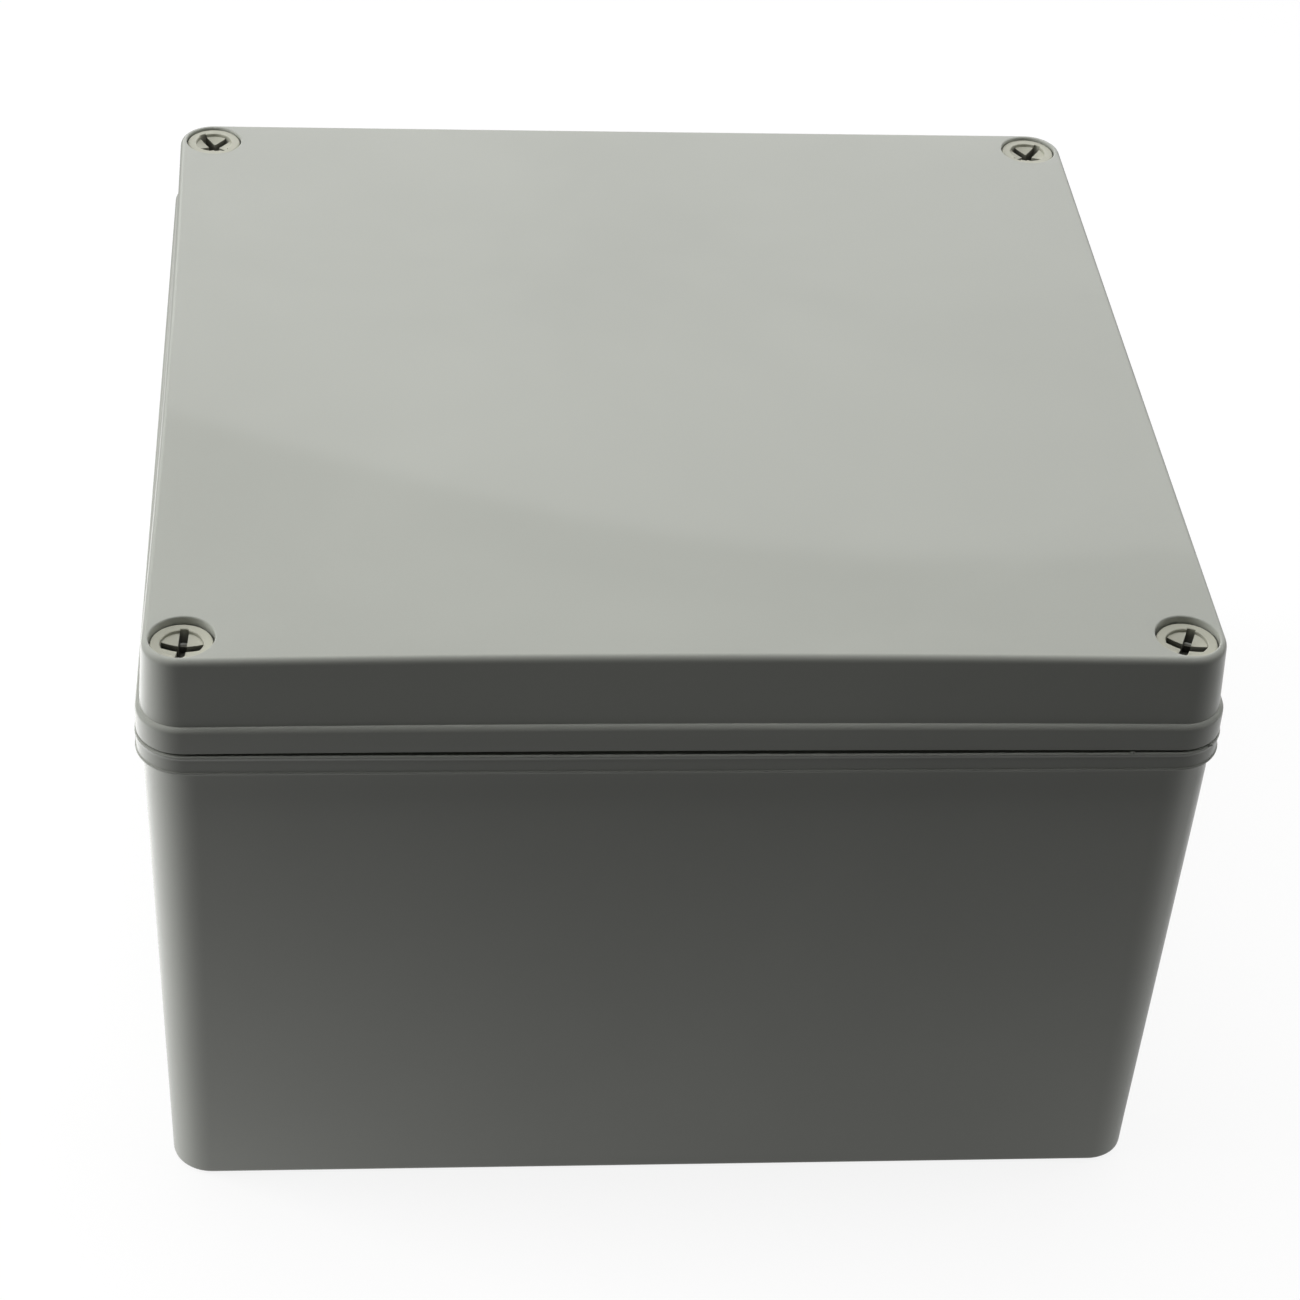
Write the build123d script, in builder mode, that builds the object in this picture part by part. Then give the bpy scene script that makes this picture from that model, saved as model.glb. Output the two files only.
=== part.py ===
from build123d import *
import os
from math import atan, degrees, hypot

# Electrical junction box, 200 x 200 x 130 mm nominal, with a screwed lid, a gasket and a
# row of terminals on a top-hat rail. Millimetres. The origin is at the centre of the rear
# (wall) face, +Z points out of the wall towards the lid, +X to the right, -Y to the front.

os.makedirs("parts", exist_ok=True)

OVERLAP = 0.5            # how far a feature is sunk into the solid it joins

# --- base --------------------------------------------------------------------
BOX_H = 130.0            # overall height with the lid on
BASE_RIM = 100.0         # half width over the rim band
BASE_RIM_R = 9.4
BASE_RIM_FILLET = 0.5
BASE_TOP = 98.9          # half width of the wall just under the rim band
BASE_BOTTOM = 96.5       # half width of the wall at the rear face
BASE_BOTTOM_R = 8.0      # vertical corner radius at the rear face
REAR_FILLET = 1.0
RIM_Z0, RIM_Z1 = 105.5, 109.5
FLOOR = 3.0
CAVITY_INSET = 1.5       # cavity wall inwards from the seal line
WELL_WALL = 2.6          # wall thickness at the corner wells, at the rear face
WELL_R = 6.0
WELL_Z0 = 4.5            # floor of the corner wells

# --- lid ---------------------------------------------------------------------
LID_Z0 = 110.0           # underside of the rim band
LID_STEP_Z = 115.5       # where the rim band steps in to the skirt
LID_STEP_OVERLAP = 0.01
LID_RIM = 99.8           # half width over the rim band
LID_RIM_R = 8.9
LID_RIM_FILLET = 1.1
LID_SKIRT = 98.9         # half width at the foot of the skirt
LID_TOP = 98.2           # half width at the top face
LID_SKIRT_R = 8.0
LID_PLATE = 3.0          # thickness of the top plate
LID_TOP_FILLET = 1.05
LID_INNER_Z1 = BOX_H - LID_PLATE
LID_CAVITY_WALL = 1.3    # between the gasket groove and the cavity
LID_CAVITY_FILLET = 1.6
LID_HOLLOW = 96.0        # half width over the corner hollows
LID_HOLLOW_R = 5.5
LID_HOLLOW_WALL = 1.4    # taken off the hollows' arc beyond the groove's half width

# --- seal line: runs along the walls and cuts across inside each corner ------
SEAL_HALF = 97.1
SEAL_ARC_XY = 98.0       # centres of the arcs across the corners
SEAL_ARC_R = 28.0
SEAL_FILLET = 4.0
TONGUE_HALF_W = 0.8      # rib on the base that presses on the gasket
TONGUE_H = 2.0
GROOVE_HALF_W = 1.25     # groove in the lid that holds the gasket
GROOVE_Z1 = 114.6
GASKET_HALF_W = 1.1
GASKET_Z0 = RIM_Z1 + TONGUE_H + 0.02

# --- lid screws --------------------------------------------------------------
SCREW_XY = LID_SKIRT - LID_SKIRT_R     # concentric with the lid's vertical corners
SCREW_TIP_Z = 100.0
SCREW_TIP_CHAMFER = 0.8
SHANK_R = 3.0
HEAD_R, HEAD_Z0, HEAD_Z1 = 5.75, 125.6, 128.6
HEAD_DISH_R, HEAD_DISH_DEPTH = 4.1, 1.4
HEAD_CROSS_L, HEAD_CROSS_W, HEAD_CROSS_DEPTH = 8.9, 1.8, 2.5
CBORE_R = 6.05           # counterbore in the lid
SHANK_HOLE_R = 3.35      # clearance hole in the lid
RETAINER_POCKET_R, RETAINER_POCKET_Z1 = 4.7, 122.6
COLUMN_R = 7.6           # column in the lid round each screw
COLUMN_LIMIT, COLUMN_LIMIT_R = 97.6, 7.0   # rounded square that trims the columns
COLUMN_RAISE = 0.3       # foot of the columns above the lid's underside
POST_R, POST_Z0 = 5.0, 1.0                 # screw post in each base corner
POST_HOLE_R, POST_HOLE_Z0 = 3.06, 97.0
RETAINER_Z0, RETAINER_Z1 = 110.7, 112.4
RETAINER_R, RETAINER_BORE_R = 4.62, 2.46
NECK_R = 2.4             # groove in the screw that carries the retaining ring
NECK_GAP = 0.08          # room above and below the ring

# --- wall fixings ------------------------------------------------------------
FIX_PITCH = 167.0
FIX_HOLE_R = 2.6

# --- mounting plate ----------------------------------------------------------
BOSS_X, BOSS_Y = 72.0, 52.0
BOSS_R, BOSS_TOP = 4.8, 12.0
INSERT_R, INSERT_BORE_R, INSERT_Z0 = 3.0, 2.0, 4.5
PLATE_HALF, PLATE_CHAMFER, PLATE_T = 84.0, 22.0, 1.5
PLATE_Z1 = BOSS_TOP + PLATE_T
PLATE_HOLE_R = 2.2
TIGHT_GAP = 0.05         # radial gap round the rail screws and the earth stud

# --- M4 pan-head screws ------------------------------------------------------
M4_R = 1.95
M4_HEAD_R, M4_HEAD_H, M4_HEAD_FILLET = 3.9, 2.6, 1.2
M4_CROSS_L, M4_CROSS_W, M4_CROSS_DEPTH = 4.0, 0.9, 1.6
PLATE_SCREW_TIP_Z, RAIL_SCREW_TIP_Z = 5.5, 7.0

# --- top-hat rail, 35 x 7.5 --------------------------------------------------
RAIL_LEN, RAIL_H, RAIL_T = 140.0, 7.5, 1.0
RAIL_HALF, RAIL_WEB = 17.5, 13.5           # half widths over the flanges and the web
RAIL_Z1 = PLATE_Z1 + RAIL_H
RAIL_SLOT_PITCH, RAIL_SLOT_L, RAIL_SLOT_W, RAIL_SLOTS = 25.0, 15.0, 5.4, 5
RAIL_SCREW_X = 50.0

# --- earth stud --------------------------------------------------------------
STUD_X, STUD_Y, STUD_R, STUD_Z1 = 62.0, -66.0, 2.95, 30.0
STUD_CHAMFER = 0.6
STUD_HEAD_R, STUD_HEAD_T = 5.0, 1.8
WASHER_R, WASHER_T, WASHER_GAP = 6.2, 1.4, 0.15
NUT_FLATS, NUT_H = 10.0, 5.0

# --- terminals ---------------------------------------------------------------
TERMINALS = ["terminal_line_1", "terminal_line_2", "terminal_line_3",
             "terminal_neutral", "terminal_earth"]
TERM_W = 8.2
TERM_WALL = 1.3          # closed left side of each housing
TERM_Z1 = 62.0
CHAMBER_W = TERM_W - TERM_WALL
STACK_X1 = len(TERMINALS) / 2 * TERM_W     # right end of the row of terminals
WIRE_Y, WIRE_R = 10.6, 2.5
RELEASE_Y, RELEASE_W, RELEASE_D = 4.4, 3.0, 2.4
TOP_HOLE_DEPTH = 7.0     # depth of the wire entries and release slots
BAR_W, BAR_T = 5.6, 1.2
BAR_Z = 44.0             # underside of the current bars
BAR_END_Y, BAR_END_Z = 13.8, 51.0          # where the turned-up ends stand and stop
SPRING_W, SPRING_T = 4.8, 0.5
EARTH_FOOT_Y, EARTH_FOOT_T, EARTH_SLOT_T = 15.1, 1.4, 1.6
EARTH_FOOT_H = BAR_Z - RAIL_Z1
EARTH_FOOT_Z = (RAIL_Z1 + BAR_Z) / 2
COVER_T = 1.5
CLAMP_W = 9.0
CLAMP_RECESS_Z, CLAMP_RECESS_L = 36.0, 14.0
CLAMP_RECESS_H, CLAMP_RECESS_DEPTH = 8.0, 2.0

# Right halves of the end outlines as (y, z), each running in order to its mirror image.
JAW_Z = RAIL_Z1 - RAIL_T - 0.1
JAW_Y = RAIL_HALF + 0.2
JAW = [(16.0, 17.0), (16.0, JAW_Z), (JAW_Y, JAW_Z), (JAW_Y, RAIL_Z1)]   # hooks under the rail
HOUSING_HALF = [(15.5, TERM_Z1), (25.0, 43.0), (25.0, 24.0), (20.5, 17.0)] + JAW
CLAMP_HALF = [(12.0, 46.0), (22.0, 34.0), (22.0, 24.0), (20.0, 17.0)] + JAW
CHAMBER_HALF = [(16.5, BAR_Z), (16.5, 50.0), (12.5, 56.5)]
RAIL_SECTION_HALF = [
    (RAIL_WEB, PLATE_Z1), (RAIL_WEB, RAIL_Z1 - RAIL_T), (RAIL_HALF, RAIL_Z1 - RAIL_T),
    (RAIL_HALF, RAIL_Z1), (RAIL_WEB - RAIL_T, RAIL_Z1), (RAIL_WEB - RAIL_T, PLATE_Z1 + RAIL_T),
]
# Centre line of the spring on the +Y side, as (y, z)
SPRING_LINE = [(2.6, BAR_Z + BAR_T), (2.6, 51.6), (4.6, 54.6), (7.4, 54.6), (11.2, 48.2)]

# Corner: sign of x, sign of y, turn of the screw's cross recess in degrees
CORNERS = {
    "front_left": (-1, -1, -5.0),
    "front_right": (1, -1, -23.0),
    "back_left": (-1, 1, 38.0),
    "back_right": (1, 1, -42.0),
}


def corner_points(distance):
    return [(sx * distance, sy * distance) for sx, sy, _ in CORNERS.values()]


SCREW_POINTS = corner_points(SCREW_XY)
FIX_POINTS = corner_points(FIX_PITCH / 2)
SEAL_ARC_POINTS = corner_points(SEAL_ARC_XY)
BOSS_POINTS = [(sx * BOSS_X, sy * BOSS_Y) for sx in (-1, 1) for sy in (-1, 1)]
RAIL_SCREW_POINTS = [(-RAIL_SCREW_X, 0), (RAIL_SCREW_X, 0)]
STUD_POINTS = [(STUD_X, STUD_Y)]


# ===========================================================================
# Helpers
# ===========================================================================
def discs(points, radius, bore=None):
    """Draw a disc, or a ring if it has a bore, at each point of the open sketch."""
    with Locations(*points):
        Circle(radius)
        if bore:
            Circle(bore, mode=Mode.SUBTRACT)


def seal_region(sketch, shift, corner_fillet=None):
    """Draw in the open sketch all that lies inside the seal line moved outwards by shift."""
    half = SEAL_HALF + shift
    Rectangle(2 * half, 2 * half)
    with Locations(*SEAL_ARC_POINTS):
        Circle(SEAL_ARC_R - shift, mode=Mode.SUBTRACT)
    fillet(sketch.vertices(), corner_fillet or SEAL_FILLET + shift)


def mirrored(half):
    """Close a right-hand half outline with its mirror image on the -Y side."""
    return half + [(-y, z) for y, z in reversed(half)]


def strip(points, thickness):
    """Outline of a bent strip about a centre line of (y, z) points."""
    def normal(start, end):
        dy, dz = end[0] - start[0], end[1] - start[1]
        length = hypot(dy, dz)
        return -dz / length, dy / length

    normals = [normal(start, end) for start, end in zip(points, points[1:])]
    left, right = [], []
    for i, (y, z) in enumerate(points):
        beside = normals[max(i - 1, 0):i + 1]
        ny = sum(n[0] for n in beside) / len(beside)
        nz = sum(n[1] for n in beside) / len(beside)
        scale = (thickness / 2) / (ny * ny + nz * nz)
        left.append((y + ny * scale, z + nz * scale))
        right.append((y - ny * scale, z - nz * scale))
    return left + right[::-1]


def prism(outline, x0, width):
    """Solid with a (y, z) outline, running from x0 towards +X."""
    with BuildPart() as solid:
        with BuildSketch(Plane.YZ.offset(x0)):
            with BuildLine():
                Polyline(*outline, close=True)
            make_face()
        extrude(amount=width)
    return solid.part


def save(part, name):
    part.label = name
    export_step(part, f"parts/{name}.step")


# ===========================================================================
# Enclosure
# ===========================================================================
def make_base():
    draft = degrees(atan((BASE_TOP - BASE_BOTTOM) / RIM_Z0))
    with BuildPart() as base:
        # outer wall, drafted outwards from the rear face to the rim
        with BuildSketch(Plane.XY):
            RectangleRounded(2 * BASE_BOTTOM, 2 * BASE_BOTTOM, BASE_BOTTOM_R)
        extrude(amount=RIM_Z0 + OVERLAP, taper=-draft)
        # rim band
        with BuildSketch(Plane.XY.offset(RIM_Z0)):
            RectangleRounded(2 * BASE_RIM, 2 * BASE_RIM, BASE_RIM_R)
        extrude(amount=RIM_Z1 - RIM_Z0)
        fillet(base.faces().filter_by(Axis.Z).group_by(Axis.Z)[-1].edges(), BASE_RIM_FILLET)
        fillet(base.faces().filter_by(Axis.Z).group_by(Axis.Z)[0].edges(), REAR_FILLET)
        # main cavity, drafted
        with BuildSketch(Plane.XY.offset(RIM_Z1)) as cavity:
            seal_region(cavity, -CAVITY_INSET)
        extrude(amount=-(RIM_Z1 - FLOOR), taper=draft, mode=Mode.SUBTRACT)
        # corner wells outside the seal line, for the lid screws and the wall fixings
        well_half = BASE_BOTTOM - WELL_WALL
        with BuildSketch(Plane.XY.offset(RIM_Z1)):
            RectangleRounded(2 * well_half, 2 * well_half, WELL_R)
            with Locations(*SEAL_ARC_POINTS):
                Circle(SEAL_ARC_R - CAVITY_INSET, mode=Mode.INTERSECT)
        extrude(amount=-(RIM_Z1 - WELL_Z0), mode=Mode.SUBTRACT)
        # lid screw posts
        with BuildSketch(Plane.XY.offset(POST_Z0)):
            discs(SCREW_POINTS, POST_R)
        extrude(amount=RIM_Z1 - POST_Z0)
        # tongue on the rim
        with BuildSketch(Plane.XY.offset(RIM_Z1 - OVERLAP)) as tongue:
            seal_region(tongue, TONGUE_HALF_W)
            with BuildSketch(mode=Mode.SUBTRACT) as tongue_inside:
                seal_region(tongue_inside, -TONGUE_HALF_W)
        extrude(amount=TONGUE_H + OVERLAP)
        # mounting plate bosses
        with BuildSketch(Plane.XY.offset(FLOOR - OVERLAP)):
            discs(BOSS_POINTS, BOSS_R)
        extrude(amount=BOSS_TOP - FLOOR + OVERLAP)
        # holes for the plate inserts, the lid screws and the wall fixings
        for points, radius, start_z, height in (
            (BOSS_POINTS, INSERT_R, BOSS_TOP, INSERT_Z0 - BOSS_TOP),
            (SCREW_POINTS, POST_HOLE_R, RIM_Z1, POST_HOLE_Z0 - RIM_Z1),
            (FIX_POINTS, FIX_HOLE_R, 0.0, WELL_Z0 + 1.0),
        ):
            with BuildSketch(Plane.XY.offset(start_z)):
                discs(points, radius)
            extrude(amount=height, mode=Mode.SUBTRACT)
    return base.part


def make_lid():
    draft = degrees(atan((LID_SKIRT - LID_TOP) / (BOX_H - LID_STEP_Z)))
    with BuildPart() as lid:
        # rim band
        with BuildSketch(Plane.XY.offset(LID_Z0)):
            RectangleRounded(2 * LID_RIM, 2 * LID_RIM, LID_RIM_R)
        extrude(amount=LID_STEP_Z - LID_Z0)
        fillet(lid.faces().sort_by(Axis.Z)[-1].edges(), LID_RIM_FILLET)
        # skirt, drafted inwards to the top face
        with BuildSketch(Plane.XY.offset(LID_STEP_Z - LID_STEP_OVERLAP)):
            RectangleRounded(2 * LID_SKIRT, 2 * LID_SKIRT, LID_SKIRT_R)
        extrude(amount=BOX_H - LID_STEP_Z + LID_STEP_OVERLAP, taper=draft)
        fillet(lid.faces().sort_by(Axis.Z)[-1].edges(), LID_TOP_FILLET)
        # cavity inside the seal line
        with BuildSketch(Plane.XY.offset(LID_Z0)) as cavity:
            seal_region(cavity, -GROOVE_HALF_W - LID_CAVITY_WALL, LID_CAVITY_FILLET)
        extrude(amount=LID_INNER_Z1 - LID_Z0, mode=Mode.SUBTRACT)
        # hollows outside the seal line at the corners
        with BuildSketch(Plane.XY.offset(LID_Z0)):
            RectangleRounded(2 * LID_HOLLOW, 2 * LID_HOLLOW, LID_HOLLOW_R)
            with Locations(*SEAL_ARC_POINTS):
                Circle(SEAL_ARC_R - GROOVE_HALF_W - LID_HOLLOW_WALL, mode=Mode.INTERSECT)
        extrude(amount=LID_INNER_Z1 - LID_Z0, mode=Mode.SUBTRACT)
        # gasket groove
        with BuildSketch(Plane.XY.offset(LID_Z0)) as groove:
            seal_region(groove, GROOVE_HALF_W)
            with BuildSketch(mode=Mode.SUBTRACT) as groove_inside:
                seal_region(groove_inside, -GROOVE_HALF_W)
        extrude(amount=GROOVE_Z1 - LID_Z0, mode=Mode.SUBTRACT)
        # screw columns, kept inside the skirt
        with BuildSketch(Plane.XY.offset(LID_Z0 + COLUMN_RAISE)):
            discs(SCREW_POINTS, COLUMN_R)
            RectangleRounded(2 * COLUMN_LIMIT, 2 * COLUMN_LIMIT, COLUMN_LIMIT_R,
                             mode=Mode.INTERSECT)
        extrude(amount=LID_INNER_Z1 - LID_Z0)
        # counterbore, clearance hole and retaining ring pocket in each column
        for radius, start_z, end_z in (
            (CBORE_R, BOX_H, HEAD_Z0),
            (SHANK_HOLE_R, BOX_H, LID_Z0),
            (RETAINER_POCKET_R, LID_Z0, RETAINER_POCKET_Z1),
        ):
            with BuildSketch(Plane.XY.offset(start_z)):
                discs(SCREW_POINTS, radius)
            extrude(amount=end_z - start_z, mode=Mode.SUBTRACT)
    return lid.part


def make_gasket():
    with BuildPart() as gasket:
        with BuildSketch(Plane.XY.offset(GASKET_Z0)) as outside:
            seal_region(outside, GASKET_HALF_W)
            with BuildSketch(mode=Mode.SUBTRACT) as inside:
                seal_region(inside, -GASKET_HALF_W)
        extrude(amount=GROOVE_Z1 - GASKET_Z0)
    return gasket.part


# ===========================================================================
# Lid screws and other round parts
# ===========================================================================
def make_lid_screw(x, y, turn):
    centre = [(x, y)]
    with BuildPart() as screw:
        with BuildSketch(Plane.XY.offset(SCREW_TIP_Z)):
            discs(centre, SHANK_R)
        extrude(amount=HEAD_Z0 - SCREW_TIP_Z)
        tip = screw.edges().filter_by(GeomType.CIRCLE).sort_by(Axis.Z)[0]
        chamfer(tip, SCREW_TIP_CHAMFER)
        with BuildSketch(Plane.XY.offset(HEAD_Z0)):
            discs(centre, HEAD_R)
        extrude(amount=HEAD_Z1 - HEAD_Z0)
        # dish and cross recess in the head
        with BuildSketch(Plane.XY.offset(HEAD_Z1)):
            discs(centre, HEAD_DISH_R)
        extrude(amount=-HEAD_DISH_DEPTH, mode=Mode.SUBTRACT)
        with BuildSketch(Plane.XY.offset(HEAD_Z1)):
            with Locations(Location((x, y, 0), (0, 0, turn))):
                Rectangle(HEAD_CROSS_W, HEAD_CROSS_L)
                Rectangle(HEAD_CROSS_L, HEAD_CROSS_W)
        extrude(amount=-HEAD_CROSS_DEPTH, mode=Mode.SUBTRACT)
        # neck that carries the retaining ring
        with BuildSketch(Plane.XY.offset(RETAINER_Z0 - NECK_GAP)):
            discs(centre, SHANK_R + 0.5, NECK_R)
        extrude(amount=RETAINER_Z1 - RETAINER_Z0 + 2 * NECK_GAP, mode=Mode.SUBTRACT)
    return screw.part


def make_rings(points, radius, bore, z0, height):
    """Plain ring or sleeve at each point, standing on z0."""
    with BuildPart() as rings:
        with BuildSketch(Plane.XY.offset(z0)):
            discs(points, radius, bore)
        extrude(amount=height)
    return rings.part


def make_pan_head_screws(points, seat_z, tip_z):
    """Cross-recessed pan-head screws with their heads on seat_z, one solid at each point."""
    stand = (Align.CENTER, Align.CENTER, Align.MIN)
    shank_length = seat_z - tip_z
    cross_z = shank_length + M4_HEAD_H - M4_CROSS_DEPTH / 2
    solids = []
    for x, y in points:
        shank = Cylinder(M4_R, shank_length, align=stand)
        head = Pos(0, 0, shank_length) * Cylinder(M4_HEAD_R, M4_HEAD_H, align=stand)
        head = fillet(head.edges().sort_by(Axis.Z)[-1], M4_HEAD_FILLET)
        cross = Pos(0, 0, cross_z) * (Box(M4_CROSS_L, M4_CROSS_W, M4_CROSS_DEPTH)
                                      + Box(M4_CROSS_W, M4_CROSS_L, M4_CROSS_DEPTH))
        solids.append((Pos(x, y, tip_z) * (shank + head - cross)).solid())
    return Compound(children=solids)


# ===========================================================================
# Mounting plate, rail and earth stud
# ===========================================================================
def make_plate():
    with BuildPart() as plate:
        with BuildSketch(Plane.XY.offset(BOSS_TOP)) as outline:
            Rectangle(2 * PLATE_HALF, 2 * PLATE_HALF)
            chamfer(outline.vertices(), PLATE_CHAMFER)
        extrude(amount=PLATE_T)
        with BuildSketch(Plane.XY.offset(BOSS_TOP)):
            discs(BOSS_POINTS, PLATE_HOLE_R)
            discs(RAIL_SCREW_POINTS, M4_R + TIGHT_GAP)
            discs(STUD_POINTS, STUD_R + TIGHT_GAP)
        extrude(amount=PLATE_T, mode=Mode.SUBTRACT)
    return plate.part


def make_rail():
    with BuildPart() as rail:
        with BuildSketch(Plane.YZ.offset(-RAIL_LEN / 2)):
            with BuildLine():
                Polyline(*mirrored(RAIL_SECTION_HALF), close=True)
            make_face()
        extrude(amount=RAIL_LEN)
        with BuildSketch(Plane.XY.offset(PLATE_Z1)):
            with GridLocations(RAIL_SLOT_PITCH, 0, RAIL_SLOTS, 1):
                SlotOverall(RAIL_SLOT_L, RAIL_SLOT_W)
        extrude(amount=RAIL_T, mode=Mode.SUBTRACT)
    return rail.part


def make_stud():
    with BuildPart() as stud:
        # head under the plate
        with BuildSketch(Plane.XY.offset(BOSS_TOP - STUD_HEAD_T)):
            discs(STUD_POINTS, STUD_HEAD_R)
        extrude(amount=STUD_HEAD_T)
        with BuildSketch(Plane.XY.offset(BOSS_TOP)):
            discs(STUD_POINTS, STUD_R)
        extrude(amount=STUD_Z1 - BOSS_TOP)
        chamfer(stud.edges().filter_by(GeomType.CIRCLE).sort_by(Axis.Z)[-1], STUD_CHAMFER)
    return stud.part


def make_nut():
    with BuildPart() as nut:
        with BuildSketch(Plane.XY.offset(PLATE_Z1 + WASHER_T)):
            with Locations(*STUD_POINTS):
                RegularPolygon(NUT_FLATS / 2, 6, major_radius=False)
                Circle(STUD_R + TIGHT_GAP, mode=Mode.SUBTRACT)
        extrude(amount=NUT_H)
    return nut.part


# ===========================================================================
# Terminals
# ===========================================================================
def make_housing(x0, middle_x, is_earth):
    with BuildPart() as housing:
        with BuildSketch(Plane.YZ.offset(x0)):
            with BuildLine():
                Polyline(*mirrored(HOUSING_HALF), close=True)
            make_face()
        extrude(amount=TERM_W)
        # chamber for the bar and springs, open on the right-hand side
        with BuildSketch(Plane.YZ.offset(x0 + TERM_WALL)):
            with BuildLine():
                Polyline(*mirrored(CHAMBER_HALF), close=True)
            make_face()
            if is_earth:
                with Locations((EARTH_FOOT_Y, EARTH_FOOT_Z)):
                    Rectangle(EARTH_SLOT_T, EARTH_FOOT_H + 1.0)
        extrude(amount=CHAMBER_W, mode=Mode.SUBTRACT)
        # wire entries and release slots
        with BuildSketch(Plane.XY.offset(TERM_Z1)):
            discs([(middle_x, WIRE_Y), (middle_x, -WIRE_Y)], WIRE_R)
            with Locations((middle_x, RELEASE_Y), (middle_x, -RELEASE_Y)):
                Rectangle(RELEASE_W, RELEASE_D)
        extrude(amount=-TOP_HOLE_DEPTH, mode=Mode.SUBTRACT)
    return housing.part


def make_bar(middle_x):
    """Current bar, turned up at both ends."""
    line_z = BAR_Z + BAR_T / 2
    line = [(-BAR_END_Y, BAR_END_Z), (-BAR_END_Y, line_z),
            (BAR_END_Y, line_z), (BAR_END_Y, BAR_END_Z)]
    return prism(strip(line, BAR_T), middle_x - BAR_W / 2, BAR_W)


def make_earth_foot(middle_x):
    """Upright strip from the rail to the earth terminal's bar."""
    with BuildPart() as foot:
        with BuildSketch(Plane.YZ.offset(middle_x - BAR_W / 2)):
            with Locations((EARTH_FOOT_Y, EARTH_FOOT_Z)):
                Rectangle(EARTH_FOOT_T, EARTH_FOOT_H)
        extrude(amount=BAR_W)
    return foot.part


def make_spring(middle_x, side):
    line = [(side * y, z) for y, z in SPRING_LINE]
    return prism(strip(line, SPRING_T), middle_x - SPRING_W / 2, SPRING_W)


def make_clamp(x0):
    """End clamp with a shallow recess in its left face."""
    with BuildPart() as clamp:
        with BuildSketch(Plane.YZ.offset(x0)):
            with BuildLine():
                Polyline(*mirrored(CLAMP_HALF), close=True)
            make_face()
        extrude(amount=CLAMP_W)
        with BuildSketch(Plane.YZ.offset(x0)):
            with Locations((0, CLAMP_RECESS_Z)):
                Rectangle(CLAMP_RECESS_L, CLAMP_RECESS_H)
        extrude(amount=CLAMP_RECESS_DEPTH, mode=Mode.SUBTRACT)
    return clamp.part


def save_terminals():
    bars, springs = [], []
    for i, name in enumerate(TERMINALS):
        x0 = (i - len(TERMINALS) / 2) * TERM_W
        middle_x = x0 + TERM_WALL + CHAMBER_W / 2
        is_earth = name == "terminal_earth"
        save(make_housing(x0, middle_x, is_earth), name)
        bar = make_bar(middle_x)
        if is_earth:
            save(bar, "earth_bar")
            save(make_earth_foot(middle_x), "earth_foot")
        else:
            bars.append(bar.solid())
        springs += [make_spring(middle_x, side).solid() for side in (-1, 1)]
    save(Compound(children=bars), "current_bars")
    save(Compound(children=springs), "clamp_springs")


# ===========================================================================
# Build and save every piece
# ===========================================================================
save(make_base(), "base")
save(make_lid(), "lid")
save(make_gasket(), "lid_gasket")

for corner, (sx, sy, turn) in CORNERS.items():
    x, y = sx * SCREW_XY, sy * SCREW_XY
    save(make_lid_screw(x, y, turn), f"lid_screw_{corner}")
    save(make_rings([(x, y)], RETAINER_R, RETAINER_BORE_R, RETAINER_Z0,
                    RETAINER_Z1 - RETAINER_Z0), f"screw_ring_{corner}")

save(make_rings(BOSS_POINTS, INSERT_R, INSERT_BORE_R, INSERT_Z0, BOSS_TOP - INSERT_Z0),
     "plate_inserts")
save(make_plate(), "mounting_plate")
save(make_pan_head_screws(BOSS_POINTS, PLATE_Z1, PLATE_SCREW_TIP_Z), "plate_screws")
save(make_rail(), "din_rail")
save(make_pan_head_screws(RAIL_SCREW_POINTS, PLATE_Z1 + RAIL_T, RAIL_SCREW_TIP_Z),
     "rail_screws")
save(make_stud(), "earth_stud")
save(make_rings(STUD_POINTS, WASHER_R, STUD_R + WASHER_GAP, PLATE_Z1, WASHER_T),
     "earth_washer")
save(make_nut(), "earth_nut")

save_terminals()
save(prism(mirrored(HOUSING_HALF), STACK_X1, COVER_T), "end_cover")
clamp_starts = (-STACK_X1 - CLAMP_W, STACK_X1 + COVER_T)
save(Compound(children=[make_clamp(x0).solid() for x0 in clamp_starts]), "end_clamps")
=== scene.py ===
"""A square grey plastic enclosure with its lid screwed down, and the hardware inside it.

The box is about 200 mm square and 130 mm high, stands on z = 0 and is centred on the Z axis.
Front is -Y, back +Y, left -X and right +X. The base carries a mounting plate, a top-hat rail
along X with five terminals between two end clamps, and an earth stud. Shapes are in
millimetres; the floor, lights and textures are in metres.
"""
import math
from functools import reduce
from math import sin, cos, radians, pi, sqrt, atan2, hypot

import bmesh
import bpy
import numpy as np
from mathutils import Vector, Matrix
from mathutils.geometry import delaunay_2d_cdt


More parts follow.
